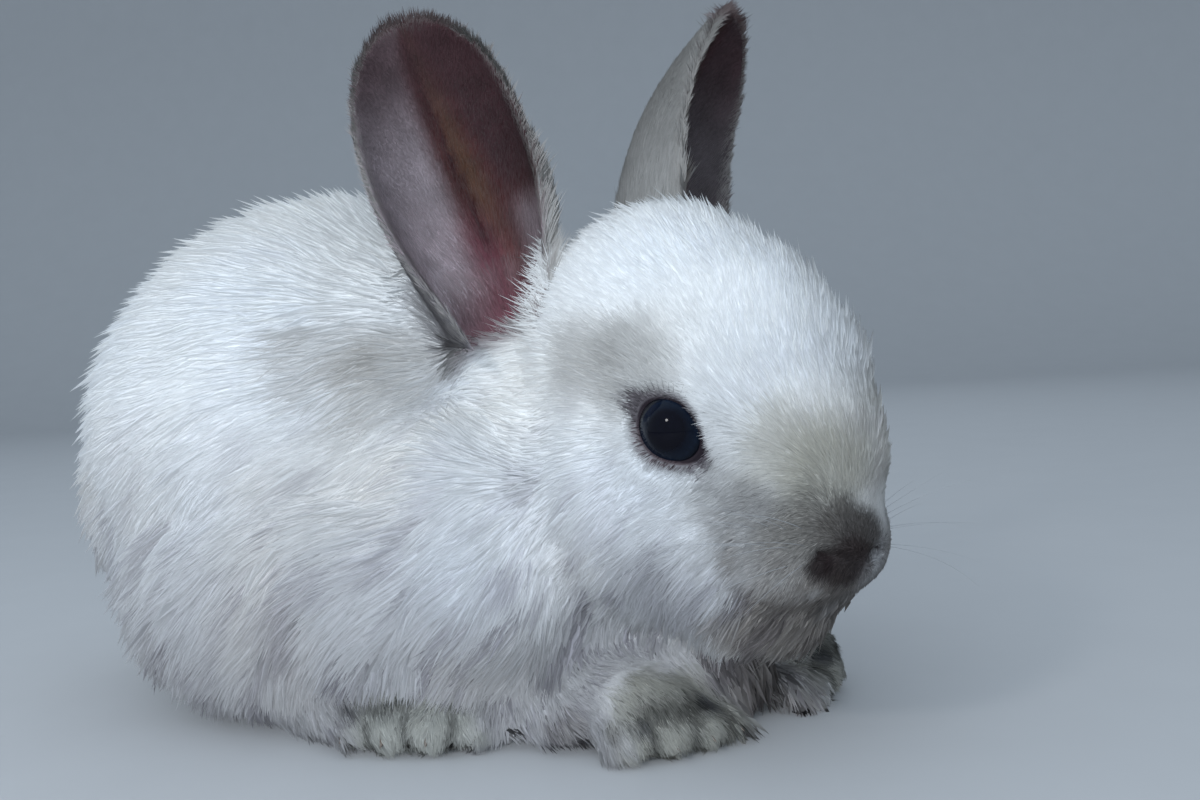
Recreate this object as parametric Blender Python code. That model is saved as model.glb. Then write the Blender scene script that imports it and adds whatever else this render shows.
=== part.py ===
"""A very young rabbit at life size, crouched in a loaf with both ears up.

The body is modelled whole from overlapping ovals, out to the tips of the coat, and
then parted by thin cuts into the head, neck, trunk, tail and four legs. The ears are
cupped shells, the eyes are balls in sockets, and each claw is its own small horn.

The rabbit faces +X, its left is +Y, and +Z is up. The origin is on the floor, below
the middle of the whole animal.
"""

import math

import bmesh
import bpy
from mathutils import Matrix, Vector
from mathutils.bvhtree import BVHTree

MM = 0.001

# How the pieces part
CUT = 0.3 * MM
HALF_CUT = CUT / 2

# How fine the body's surface is
VOXEL = 1.0 * MM
SMOOTH_STEPS = 10
SMOOTH_FACTOR = 0.5
BODY_TRIANGLES = 2836
BALL_FINENESS = 4
TOE_FINENESS = 3
REGION_FINENESS = 2
SHARP_ANGLE = math.radians(40)
WELD_WITHIN = 0.0001 * MM

# Larger than the whole rabbit, for the blocks that part it at a plane
BLOCK_SIZE = 400.0 * MM

# Where the head sits on the body, and how far it turns to the right
HEAD_CENTRE = Vector((33.0, -3.0, 45.0)) * MM
HEAD_TURN = math.radians(-22)

# The planes that part head, neck and trunk, in the head's own axes
HEAD_CUT_X = -20.0 * MM
NECK_LENGTH = 11.0 * MM
NECK_LEAN = math.radians(36)

# The level under the chin, below which the breast is the trunk's
CHIN_LEVEL = 12.5 * MM

# Eyes, in the head's own axes
EYE_RADIUS = 5.3 * MM
EYE_PLACE = Vector((14.4, 13.0, -1.2)) * MM
EYE_SEGMENTS = 18
EYE_RINGS = 10

# Ears, in the head's own axes: where each grows, its tip, and the way its cup opens
EAR_ROOT = {"right": Vector((-26.0, -12.0, 13.0)) * MM, "left": Vector((-25.0, 8.5, 17.0)) * MM}
EAR_TIP = {"right": Vector((-29.0, -26.0, 59.5)) * MM, "left": Vector((-12.5, 24.0, 63.0)) * MM}
EAR_OPENS = {"right": math.radians(-34), "left": math.radians(32)}
EAR_BOW = {"right": 3.0 * MM, "left": 6.5 * MM}
EAR_HALF_WIDTH = 12.4 * MM
EAR_BASE_SHARE = 0.68
EAR_WIDEST_AT = 0.58
EAR_THICKNESS = 2.0 * MM
EAR_RIM_THICKNESS = 1.1 * MM
EAR_CURL_BASE = math.radians(140)
EAR_CURL_TIP = math.radians(47)
EAR_RISE_POWER = 1.25
EAR_ROUND_POWER = 2.3
EAR_MOST_THICKNESS_SHARE = 0.8
EAR_ROWS = 12
EAR_COLUMNS = 9
EAR_ROW_POWER = 1.35
EAR_LAST_ROW = 0.992

# Feet: the middle of the row of toes with +Y outwards, how far the foot turns out, its toes
FEET = {
    ("fore", "right"): (Vector((34.3, 15.3, 0.0)) * MM, math.radians(24)),
    ("fore", "left"): (Vector((40.5, 16.5, 0.0)) * MM, math.radians(8)),
    ("hind", "right"): (Vector((0.4, 27.9, 0.0)) * MM, math.radians(62)),
    ("hind", "left"): (Vector((0.4, 27.9, 0.0)) * MM, math.radians(62)),
}
TOE_RADIUS = {"fore": 4.0 * MM, "hind": 4.4 * MM}
TOE_STEP = {"fore": 5.6 * MM, "hind": 6.3 * MM}
TOE_SHAPE = (1.25, 0.86, 1.0)
TOE_HEIGHT_SHARE = 0.82
TOE_REACH = 2.6 * MM
TOE_ARC = 0.8 * MM
TOE_SLANT = 0.7 * MM
TOES_PER_FOOT = 4
CLAW_LENGTH = 4.2 * MM
CLAW_RADIUS = 0.75 * MM
CLAW_OUT = 0.25 * MM
CLAW_DROOP = 0.8 * MM
CLAW_DIP = -0.12
CLAW_TAPER = 0.6
CLAW_SIDES = 5
CLAW_RINGS = 3
DEWCLAW_ROOT = Vector((-8.0, -4.0, 4.6)) * MM
DEWCLAW_WAY = Vector((0.55, -1.0, -0.1))

SIDES = {"right": -1, "left": 1}
IN_PLACE = Matrix.Identity(4)

# Each oval is its centre, its half-sizes and its turn about Z in degrees, in millimetres.
TRUNK_OVALS = {
    "barrel": ((-36, 0, 42), (46, 39, 41), 0),
    "rump": ((-50, 0, 36), (35, 35, 34), 0),
    "shoulders": ((-17, 0, 42), (26, 33, 36), 0),
    "chest": ((10, 0, 28), (24, 26, 25), 0),
    "breast": ((26, 0, 12), (18, 12, 14.5), 0),
    "belly": ((-22, 0, 16), (42, 28, 14), 0),
    "nape": ((3, 0, 48), (21, 13, 23), -12),
}
PAIRED_TRUNK_OVALS = {
    "haunch": ((-33, 24, 25), (28, 16, 24), 0),
    "shoulder": ((4, 20, 24), (20, 12, 22), 0),
    "flank": ((-14, 28, 22), (24, 10, 17), 0),
}
TAIL_OVALS = {
    "tail_root": ((-80, 2, 26), (8, 7, 9), 0),
    "tail_tip": ((-84, 2, 33), (6, 6.5, 8), 0),
}
HEAD_OVALS = {
    "cranium": ((-3, 0, 6), (25, 19.5, 24.5), 0),
    "forehead": ((5, 0, 7), (22, 17.5, 19), 0),
    "brow": ((11, 0, 1), (20.5, 17, 19.5), 0),
    "bridge": ((18.3, 0, -4.8), (16.3, 13, 15.5), 0),
    "muzzle": ((20.6, 0, -15), (13.5, 11, 11.5), 0),
    "chin": ((12, 0, -24), (15, 11, 9), 0),
    "throat": ((-3, 0, -16), (23, 20, 16), 0),
}
PAIRED_HEAD_OVALS = {
    "whisker_pad": ((18.5, 5.5, -16.5), (12.5, 7.5, 9.5), 0),
    "cheek": ((2, 10.5, -10), (18, 12.5, 16), 0),
    "jaw": ((12, 7, -15), (14, 9, 12.5), 0),
}
# In the fore foot's own axes
FORELEG_OVALS = {
    "forearm": ((-10.2, 4.6, 6), (13, 7, 7), -18),
    "paw": ((-5.2, 1.8, 5.5), (11, 8.5, 7), -8),
    "elbow": ((-13.5, 9.5, 4.6), (8.5, 7, 5.4), 0),
}
HIND_LEG_OVALS = {
    "foot": ((-18, 27, 6), (20, 8, 7.5), 14),
    "thigh": ((-30, 30, 22), (25, 12, 20), 0),
}
FORELEG_REGION = {
    "forearm": ((-3.4, 5, 4), (19.5, 15.5, 12), -14),
}
HIND_LEG_REGION = {
    "foot": ((-10, 31, 4), (30, 21, 12), 20),
    "thigh": ((-31, 34, 21), (28, 17, 25), 0),
}
TAIL_REGION = {"tail": ((-85, 2, 30), (12, 12, 16), 0)}

COAT = (0.86, 0.84, 0.80)
EAR_SKIN = (0.36, 0.24, 0.22)
EYE_DARK = (0.01, 0.012, 0.02)
HORN = (0.32, 0.27, 0.24)


def clear_scene():
    for obj in list(bpy.data.objects):
        bpy.data.objects.remove(obj, do_unlink=True)


def make_material(name, colour, roughness, metallic=0.0):
    material = bpy.data.materials.new(name)
    material.use_nodes = True
    shader = material.node_tree.nodes["Principled BSDF"]
    shader.inputs["Base Color"].default_value = (*colour, 1.0)
    shader.inputs["Roughness"].default_value = roughness
    shader.inputs["Metallic"].default_value = metallic
    material.diffuse_color = (*colour, 1.0)
    return material


def link_mesh(name, mesh):
    obj = bpy.data.objects.new(name, mesh)
    bpy.context.scene.collection.objects.link(obj)
    return obj


def applied(obj):
    """Puts the result of the object's modifiers into its own mesh."""
    bpy.context.view_layer.update()
    graph = bpy.context.evaluated_depsgraph_get()
    result = bpy.data.meshes.new_from_object(obj.evaluated_get(graph))
    obj.modifiers.clear()
    obj.data = result
    return obj


def boolean(obj, other, operation):
    """Cuts, joins or keeps what is shared with the other object, and removes that object."""
    step = obj.modifiers.new(operation, "BOOLEAN")
    step.operation = operation
    step.solver = "EXACT"
    step.object = other
    applied(obj)
    bpy.data.objects.remove(other, do_unlink=True)
    return obj


def copied(obj, name):
    return link_mesh(name, obj.data.copy())


def head_frame():
    return Matrix.Translation(HEAD_CENTRE) @ Matrix.Rotation(HEAD_TURN, 4, "Z")


def oval_matrix(oval, side=1, grow=0.0):
    """Places a unit ball as the oval. A negative side mirrors it to the right."""
    centre, sizes, turn = oval
    place = Vector((centre[0], centre[1] * side, centre[2])) * MM
    half = [size * MM + grow for size in sizes]
    turned = Matrix.Rotation(math.radians(turn) * side, 4, "Z")
    return Matrix.Translation(place) @ turned @ Matrix.Diagonal((*half, 1.0))


def add_ball(bm, matrix, fineness=BALL_FINENESS):
    bmesh.ops.create_icosphere(bm, subdivisions=fineness, radius=1.0, matrix=matrix)


def foot_frame(limb, side_name):
    """The foot's own axes: +X the way it points, with +Y outwards."""
    toes, turn = FEET[limb, side_name]
    side = SIDES[side_name]
    place = Vector((toes.x, toes.y * side, 0.0))
    outward = Matrix.Diagonal((1.0, side, 1.0, 1.0))
    return Matrix.Translation(place) @ outward @ Matrix.Rotation(turn, 4, "Z")


def toe_places(limb):
    """Centres of the toes in the foot's own axes: the middle toes reach furthest."""
    for index in range(TOES_PER_FOOT):
        across = index - (TOES_PER_FOOT - 1) / 2
        forward = TOE_REACH - TOE_ARC * across * across - TOE_SLANT * across
        yield Vector((forward, across * TOE_STEP[limb], TOE_RADIUS[limb] * TOE_HEIGHT_SHARE))


def add_toes(bm, limb, side_name):
    frame = foot_frame(limb, side_name)
    shape = Matrix.Diagonal((*[TOE_RADIUS[limb] * share for share in TOE_SHAPE], 1.0))
    for place in toe_places(limb):
        add_ball(bm, frame @ Matrix.Translation(place) @ shape, TOE_FINENESS)


def whole_body():
    """Head, trunk, tail and legs as one closed, smooth surface, flat where it stands."""
    bm = bmesh.new()
    for oval in (*TRUNK_OVALS.values(), *TAIL_OVALS.values()):
        add_ball(bm, oval_matrix(oval))
    for oval in HEAD_OVALS.values():
        add_ball(bm, head_frame() @ oval_matrix(oval))
    for side_name, side in SIDES.items():
        for oval in PAIRED_HEAD_OVALS.values():
            add_ball(bm, head_frame() @ oval_matrix(oval, side))
        for oval in (*PAIRED_TRUNK_OVALS.values(), *HIND_LEG_OVALS.values()):
            add_ball(bm, oval_matrix(oval, side))
        for oval in FORELEG_OVALS.values():
            add_ball(bm, foot_frame("fore", side_name) @ oval_matrix(oval))
        add_toes(bm, "fore", side_name)
        add_toes(bm, "hind", side_name)
    bmesh.ops.recalc_face_normals(bm, faces=bm.faces)
    mesh = bpy.data.meshes.new("whole_body")
    bm.to_mesh(mesh)
    bm.free()
    body = link_mesh("whole_body", mesh)
    remesh = body.modifiers.new("one_surface", "REMESH")
    remesh.mode = "VOXEL"
    remesh.voxel_size = VOXEL
    smooth = body.modifiers.new("soften", "SMOOTH")
    smooth.factor = SMOOTH_FACTOR
    smooth.iterations = SMOOTH_STEPS
    applied(body)
    reduce_to(body, BODY_TRIANGLES)
    stand_flat(body)
    return body


def reduce_to(obj, triangles):
    obj.data.calc_loop_triangles()
    step = obj.modifiers.new("fewer_faces", "DECIMATE")
    step.ratio = triangles / len(obj.data.loop_triangles)
    step.use_collapse_triangulate = True
    applied(obj)


def stand_flat(obj):
    """Cuts away all that is below the floor, and closes the flats."""
    bm = bmesh.new()
    bm.from_mesh(obj.data)
    geometry = [*bm.verts, *bm.edges, *bm.faces]
    bmesh.ops.bisect_plane(
        bm,
        geom=geometry,
        dist=WELD_WITHIN,
        plane_co=(0, 0, 0),
        plane_no=(0, 0, -1),
        clear_outer=True,
    )
    open_edges = [edge for edge in bm.edges if edge.is_boundary]
    bmesh.ops.holes_fill(bm, edges=open_edges, sides=0)
    bmesh.ops.triangulate(bm, faces=[face for face in bm.faces if len(face.verts) > 4])
    bmesh.ops.recalc_face_normals(bm, faces=bm.faces)
    bm.to_mesh(obj.data)
    bm.free()


def keep_largest(obj):
    """Removes the slivers that a cut leaves beside the body."""
    bm = bmesh.new()
    bm.from_mesh(obj.data)
    left = set(bm.verts)
    bodies = []
    while left:
        found = [left.pop()]
        for vert in found:
            beside = {edge.other_vert(vert) for edge in vert.link_edges} & left
            left -= beside
            found.extend(sorted(beside, key=lambda other: other.index))
        bodies.append(found)
    bodies.sort(key=len)
    bmesh.ops.delete(bm, geom=[vert for body in bodies[:-1] for vert in body], context="VERTS")
    bm.to_mesh(obj.data)
    bm.free()


def region(ovals, frame, side, grow):
    """The closed union of some ovals in the frame, to cut a limb out with."""
    parts = []
    for oval in ovals.values():
        bm = bmesh.new()
        add_ball(bm, frame @ oval_matrix(oval, side, grow), REGION_FINENESS)
        bmesh.ops.recalc_face_normals(bm, faces=bm.faces)
        mesh = bpy.data.meshes.new("region")
        bm.to_mesh(mesh)
        bm.free()
        parts.append(link_mesh("region", mesh))
    joined = parts[0]
    for other in parts[1:]:
        boolean(joined, other, "UNION")
    return joined


def half_space(place, normal, name="half_space"):
    """A large block that fills everything behind the plane."""
    bm = bmesh.new()
    bmesh.ops.create_cube(bm, size=BLOCK_SIZE)
    turn = Vector((1, 0, 0)).rotation_difference(normal).to_matrix().to_4x4()
    shift = Matrix.Translation(place - normal * BLOCK_SIZE / 2)
    bm.transform(shift @ turn)
    mesh = bpy.data.meshes.new(name)
    bm.to_mesh(mesh)
    bm.free()
    return link_mesh(name, mesh)


def take_limb(body, name, ovals, frame=IN_PLACE, side=1):
    """Parts a limb from the body, with the cut's width left between them."""
    limb = copied(body, name)
    boolean(limb, region(ovals, frame, side, -HALF_CUT), "INTERSECT")
    boolean(body, region(ovals, frame, side, HALF_CUT), "DIFFERENCE")
    return limb


def part_head_and_neck(body):
    """Parts the head and the neck from the trunk at two leaning planes, above the breast."""
    frame = head_frame()
    normal = frame.to_3x3() @ Vector((math.cos(NECK_LEAN), 0.0, math.sin(NECK_LEAN)))
    front = frame @ Vector((HEAD_CUT_X, 0.0, 0.0))
    back = front - normal * NECK_LENGTH
    head = copied(body, "head")
    boolean(head, half_space(front + normal * HALF_CUT, normal), "DIFFERENCE")
    neck = copied(body, "neck")
    boolean(neck, half_space(front - normal * HALF_CUT, normal), "INTERSECT")
    boolean(neck, half_space(back + normal * HALF_CUT, normal), "DIFFERENCE")
    up = Vector((0.0, 0.0, 1.0))
    for piece in (head, neck):
        boolean(piece, half_space(up * (CHIN_LEVEL + HALF_CUT), up), "DIFFERENCE")
    wedge = half_space(back - normal * HALF_CUT, -normal)
    boolean(wedge, half_space(up * (CHIN_LEVEL - HALF_CUT), up), "DIFFERENCE")
    boolean(body, wedge, "DIFFERENCE")
    return head, neck


def ear_width(along):
    """Half-width of the ear at a share of its length: a narrow root and a round tip."""
    if along < EAR_WIDEST_AT:
        share = along / EAR_WIDEST_AT
        rise = math.sin(share * math.pi / 2) ** EAR_RISE_POWER
        return EAR_HALF_WIDTH * (EAR_BASE_SHARE + (1 - EAR_BASE_SHARE) * rise)
    share = (along - EAR_WIDEST_AT) / (1 - EAR_WIDEST_AT)
    return EAR_HALF_WIDTH * math.sqrt(max(0.0, 1 - share**EAR_ROUND_POWER))


def ear_axes(side_name):
    """The ear's own axes, from the head's: its rise, its width and the way it opens."""
    rise = (EAR_TIP[side_name] - EAR_ROOT[side_name]).normalized()
    angle = EAR_OPENS[side_name]
    opens = Vector((math.cos(angle), math.sin(angle), 0.0))
    opens = (opens - rise * opens.dot(rise)).normalized()
    return rise, rise.cross(opens), opens


def ear_point(side_name, along, across_share, inset):
    """A point of the cupped ear. Inset moves it from the back of the ear into the cup."""
    rise, across, opens = ear_axes(side_name)
    length = (EAR_TIP[side_name] - EAR_ROOT[side_name]).length
    curl = EAR_CURL_BASE + (EAR_CURL_TIP - EAR_CURL_BASE) * along
    radius = ear_width(along) / math.sin(min(curl, math.pi / 2))
    angle = across_share * curl
    reach = radius - inset
    sideways = across * (reach * math.sin(angle))
    outwards = opens * (radius - reach * math.cos(angle))
    bow = opens * (-EAR_BOW[side_name] * math.sin(along * math.pi))
    return EAR_ROOT[side_name] + rise * (along * length) + sideways + outwards + bow


def make_ear(side_name):
    frame = head_frame()
    bm = bmesh.new()
    rings = []
    for row in range(EAR_ROWS + 1):
        along = 1 - (1 - row / EAR_ROWS) ** EAR_ROW_POWER
        along = min(along, EAR_LAST_ROW)
        ring = []
        shares = [2 * column / EAR_COLUMNS - 1 for column in range(EAR_COLUMNS + 1)]
        width = ear_width(along)
        for share in shares:
            ring.append(bm.verts.new(frame @ ear_point(side_name, along, share, 0.0)))
        for share in reversed(shares):
            thickness = EAR_RIM_THICKNESS
            thickness += (EAR_THICKNESS - EAR_RIM_THICKNESS) * (1 - share * share)
            thickness = min(thickness, width * EAR_MOST_THICKNESS_SHARE)
            ring.append(bm.verts.new(frame @ ear_point(side_name, along, share, thickness)))
        rings.append(ring)
    for lower, upper in zip(rings, rings[1:]):
        for index, corner in enumerate(lower):
            after = (index + 1) % len(lower)
            bm.faces.new((corner, lower[after], upper[after], upper[index]))
    half = EAR_COLUMNS + 1
    for ring in (rings[0], rings[-1]):
        for index in range(EAR_COLUMNS):
            outer = (ring[index], ring[index + 1])
            inner = (ring[2 * half - 2 - index], ring[2 * half - 1 - index])
            bm.faces.new((*outer, *inner))
    bmesh.ops.recalc_face_normals(bm, faces=bm.faces)
    mesh = bpy.data.meshes.new(f"ear_{side_name}")
    bm.to_mesh(mesh)
    bm.free()
    return link_mesh(f"ear_{side_name}", mesh)


def swollen(body, distance):
    """A copy of the body with its surface moved out, to cut room round it."""
    cutter = copied(body, "swollen")
    step = cutter.modifiers.new("swell", "DISPLACE")
    step.strength = distance
    step.mid_level = 0.0
    return applied(cutter)


def eye_centre(side):
    return head_frame() @ Vector((EYE_PLACE.x, EYE_PLACE.y * side, EYE_PLACE.z))


def ball_object(name, centre, radius):
    bm = bmesh.new()
    bmesh.ops.create_uvsphere(
        bm,
        u_segments=EYE_SEGMENTS,
        v_segments=EYE_RINGS,
        radius=radius,
        matrix=Matrix.Translation(centre),
    )
    mesh = bpy.data.meshes.new(name)
    bm.to_mesh(mesh)
    bm.free()
    return link_mesh(name, mesh)


def add_claw(bm, root, way, length, radius):
    """A short horn that tapers and droops, from its root along its way."""
    way = way.normalized()
    sideways = way.cross(Vector((0, 0, 1))).normalized()
    upwards = sideways.cross(way)
    rings = []
    for index in range(CLAW_RINGS):
        share = index / CLAW_RINGS
        centre = root + way * (length * share) - upwards * (CLAW_DROOP * share * share)
        reach = radius * (1 - share) ** CLAW_TAPER
        ring = []
        for corner in range(CLAW_SIDES):
            angle = 2 * math.pi * corner / CLAW_SIDES
            out = sideways * math.cos(angle) + upwards * math.sin(angle)
            ring.append(bm.verts.new(centre + out * reach))
        rings.append(ring)
    point = bm.verts.new(root + way * length - upwards * CLAW_DROOP)
    bm.faces.new(rings[0])
    for lower, upper in zip(rings, rings[1:]):
        for corner in range(CLAW_SIDES):
            after = (corner + 1) % CLAW_SIDES
            bm.faces.new((lower[corner], lower[after], upper[after], upper[corner]))
    for corner in range(CLAW_SIDES):
        bm.faces.new((rings[-1][corner], rings[-1][(corner + 1) % CLAW_SIDES], point))


def claw_lines(limb, side_name):
    """Where each claw's line starts inside its toe, and the way it points."""
    frame = foot_frame(limb, side_name)
    for place in toe_places(limb):
        yield frame @ place, frame.to_3x3() @ Vector((1.0, 0.0, CLAW_DIP))
    if limb == "fore":
        yield frame @ DEWCLAW_ROOT, frame.to_3x3() @ DEWCLAW_WAY


def grow_claws(leg, name, limb, side_name, horn):
    """Makes the foot's claws, and cuts each its own socket in the foot.

    A socket starts a cut's width behind its claw, is wider all round, and runs out past the tip.
    """
    surface = BVHTree.FromObject(leg, bpy.context.evaluated_depsgraph_get())
    sockets = bmesh.new()
    for number, (start, way) in enumerate(claw_lines(limb, side_name), 1):
        way = way.normalized()
        exit_point = surface.ray_cast(start, way)[0]
        root = exit_point + way * (CLAW_OUT - CLAW_LENGTH)
        bm = bmesh.new()
        add_claw(bm, root, way, CLAW_LENGTH, CLAW_RADIUS)
        bmesh.ops.recalc_face_normals(bm, faces=bm.faces)
        mesh = bpy.data.meshes.new(f"claw_{name}_{number}")
        bm.to_mesh(mesh)
        bm.free()
        finish(link_mesh(f"claw_{name}_{number}", mesh), horn)
        add_claw(sockets, root - way * CUT, way, CLAW_LENGTH + 4 * CUT, CLAW_RADIUS + CUT * 1.5)
    bmesh.ops.recalc_face_normals(sockets, faces=sockets.faces)
    mesh = bpy.data.meshes.new("sockets")
    sockets.to_mesh(mesh)
    sockets.free()
    boolean(leg, link_mesh("sockets", mesh), "DIFFERENCE")


def centre_on_floor(objects):
    """Moves every piece so that the whole box is centred over the origin, on the floor."""
    corners = [corner.co for obj in objects for corner in obj.data.vertices]
    low = Vector([min(corner[axis] for corner in corners) for axis in range(3)])
    high = Vector([max(corner[axis] for corner in corners) for axis in range(3)])
    middle = (low + high) / 2
    for obj in objects:
        obj.data.transform(Matrix.Translation((-middle.x, -middle.y, -low.z)))


def finish(obj, material):
    obj.data.materials.clear()
    obj.data.materials.append(material)
    obj.data.shade_smooth()
    obj.data.set_sharp_from_angle(angle=SHARP_ANGLE)


def build():
    clear_scene()
    coat = make_material("coat", COAT, 0.9)
    ear_coat = make_material("ear_coat", EAR_SKIN, 0.85)
    eye_dark = make_material("eye_dark", EYE_DARK, 0.08)
    horn = make_material("horn", HORN, 0.45)
    body = whole_body()
    cutter_body = swollen(body, CUT)
    flesh = [take_limb(body, "tail", TAIL_REGION)]
    for side_name, side in SIDES.items():
        name = f"front_{side_name}"
        fore = take_limb(body, f"leg_{name}", FORELEG_REGION, foot_frame("fore", side_name))
        grow_claws(fore, name, "fore", side_name, horn)
        name = f"hind_{side_name}"
        hind = take_limb(body, f"leg_{name}", HIND_LEG_REGION, side=side)
        grow_claws(hind, name, "hind", side_name, horn)
        flesh += [fore, hind]
    head, neck = part_head_and_neck(body)
    body.name = "trunk"
    for side_name, side in SIDES.items():
        ear = make_ear(side_name)
        boolean(ear, copied(cutter_body, "ear_cutter"), "DIFFERENCE")
        finish(ear, ear_coat)
        centre = eye_centre(side)
        boolean(head, ball_object("socket", centre, EYE_RADIUS + CUT), "DIFFERENCE")
        finish(ball_object(f"eye_{side_name}", centre, EYE_RADIUS), eye_dark)
    bpy.data.objects.remove(cutter_body, do_unlink=True)
    for obj in (body, head, neck, *flesh):
        keep_largest(obj)
        finish(obj, coat)
    centre_on_floor(list(bpy.context.scene.objects))


build()
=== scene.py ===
"""A very young white rabbit with smoky points: one skin, its eyes and claws, and its coat.

The skin is one closed surface made from all the flesh of the frame, drawn in by the depth
of the coat. Some 369,000 small closed tufts grow from it along the lie of the fur.
Places are in millimetres in the work axes of the model: the rabbit faces +X, its left is
+Y, and the floor is z = 0. Head places are in the head's own axes, from the head's centre.
"""

import math

import bmesh
import bpy
import numpy as np
from mathutils import Matrix, Vector
from mathutils.kdtree import KDTree


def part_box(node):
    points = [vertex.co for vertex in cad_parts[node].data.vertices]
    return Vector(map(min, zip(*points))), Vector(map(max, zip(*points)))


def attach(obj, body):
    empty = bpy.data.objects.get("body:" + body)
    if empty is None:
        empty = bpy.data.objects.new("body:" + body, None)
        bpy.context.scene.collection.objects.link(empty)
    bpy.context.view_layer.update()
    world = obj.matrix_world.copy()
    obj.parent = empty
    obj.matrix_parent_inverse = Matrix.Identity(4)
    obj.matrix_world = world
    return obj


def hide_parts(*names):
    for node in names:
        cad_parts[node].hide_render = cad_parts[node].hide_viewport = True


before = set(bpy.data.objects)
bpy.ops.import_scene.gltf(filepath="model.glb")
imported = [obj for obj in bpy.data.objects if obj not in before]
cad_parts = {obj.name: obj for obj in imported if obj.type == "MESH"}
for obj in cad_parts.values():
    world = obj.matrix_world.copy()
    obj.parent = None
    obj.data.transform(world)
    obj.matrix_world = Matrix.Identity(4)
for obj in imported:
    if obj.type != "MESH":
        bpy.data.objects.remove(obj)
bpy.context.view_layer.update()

MM = 0.001
SEED = 20

# The head's place and turn, and the eyes in it
HEAD_CENTRE = np.array((33.0, -3.0, 45.0))
HEAD_TURN = math.radians(-22)
EYE_PLACE = np.array((14.4, 13.0, -1.2))
EYE_RADIUS = 5.3
FORWARD = np.array((math.cos(HEAD_TURN), math.sin(HEAD_TURN), 0.0))
LEFT = np.array((-math.sin(HEAD_TURN), math.cos(HEAD_TURN), 0.0))
UP = np.array((0.0, 0.0, 1.0))
HEAD_AXES = np.stack([FORWARD, LEFT, UP])

# The ears, as the frame has them
EAR_ROOT = {"right": np.array((-26.0, -12.0, 13.0)), "left": np.array((-25.0, 8.5, 17.0))}
EAR_TIP = {"right": np.array((-29.0, -26.0, 59.5)), "left": np.array((-12.5, 24.0, 63.0))}
EAR_OPENS = {"right": math.radians(-34), "left": math.radians(32)}
EAR_BOW = {"right": 3.0, "left": 6.5}
EAR_HALF_WIDTH = 12.4
EAR_BASE_SHARE = 0.68
EAR_WIDEST_AT = 0.58
EAR_THICKNESS = 2.0
EAR_RIM_THICKNESS = 1.1
EAR_CURL_BASE = math.radians(140)
EAR_CURL_TIP = math.radians(47)
EAR_BASE_CURVE = 1.25
EAR_TIP_ROUNDNESS = 2.3
EAR_MESH = (56, 36)
EAR_SAMPLES = (60, 40)

SIDES = {"right": -1, "left": 1}

# Where each foot stands, and its turn outwards. A foot's own axes start there.
FOOT_STAND = {
    ("fore", "right"): (34.3, 15.3, 24), ("fore", "left"): (40.5, 16.5, 8),
    ("hind", "right"): (0.4, 27.9, 62), ("hind", "left"): (0.4, 27.9, 62),
}
FLESH = (
    "head", "neck", "trunk", "tail",
    "leg_front_right", "leg_front_left", "leg_hind_right", "leg_hind_left",
)

# The camera, from the right eye, in the work axes
CAMERA_FROM_EYE = np.array((72.5, -134.6, 10.8))
CAMERA_AZIMUTH = math.radians(32)
CAMERA_PITCH = math.radians(-2.4)
CAMERA_ROLL = math.radians(-3.3)
CAMERA_LENS = 36.0

rng = np.random.default_rng(SEED)


# ---------------------------------------------------------------- small helpers

def unit(v):
    return v / np.maximum(np.linalg.norm(v, axis=-1, keepdims=True), 1e-9)


def smooth(low, high, x):
    t = np.clip((x - low) / (high - low), 0.0, 1.0)
    return t * t * (3 - 2 * t)


def mix(a, b, t):
    return a + (b - a) * t


def hill(x, place, width):
    """1 at the place, falling to 0 a few widths away on both sides."""
    return np.exp(-(((x - place) / width) ** 2))


def along_surface(ways, normals):
    """The ways turned to lie flat on the surface."""
    return unit(ways - normals * np.sum(ways * normals, axis=1)[:, None])


def head_to_work(places):
    return HEAD_CENTRE + np.asarray(places, float) @ HEAD_AXES


def work_to_head(places):
    return (places - HEAD_CENTRE) @ HEAD_AXES.T


def foot_axes(limb, side):
    """Where a foot's axes start in the work axes, and the axes as rows, +Y outwards."""
    x, y, degrees = FOOT_STAND[limb, "right" if side < 0 else "left"]
    turn = math.radians(degrees)
    ahead = np.array((math.cos(turn), side * math.sin(turn), 0.0))
    outward = np.array((-math.sin(turn), side * math.cos(turn), 0.0))
    return np.array((x, y * side, 0.0)), np.stack([ahead, outward, UP])


def placed(axes, place, side, direction=False):
    """A place or a direction, given in the named axes for the left side, in the work axes."""
    place = np.array(place, float)
    if axes in ("fore", "hind"):
        start, rows = foot_axes(axes, side)
        return place @ rows if direction else start + place @ rows
    place = place * (1, side, 1)
    if axes == "body":
        return place
    return place @ HEAD_AXES if direction else head_to_work(place)


def eye_centre(side):
    return head_to_work(EYE_PLACE * (1, side, 1))


def middle_of(node):
    low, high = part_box(node)
    return np.array((low + high) / 2) / MM


SHIFT = (middle_of("eye_right") + middle_of("eye_left") - eye_centre(-1) - eye_centre(1)) / 2


def to_row(points):
    return (np.asarray(points) + SHIFT) * MM


def to_work(points):
    return np.asarray(points) / MM - SHIFT


HASH_AXES = np.array((374761393, 668265263, 2147483647))
HASH_MORE = 1274126177
HASH_MIDDLE = 0xFFFF / 2


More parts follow.
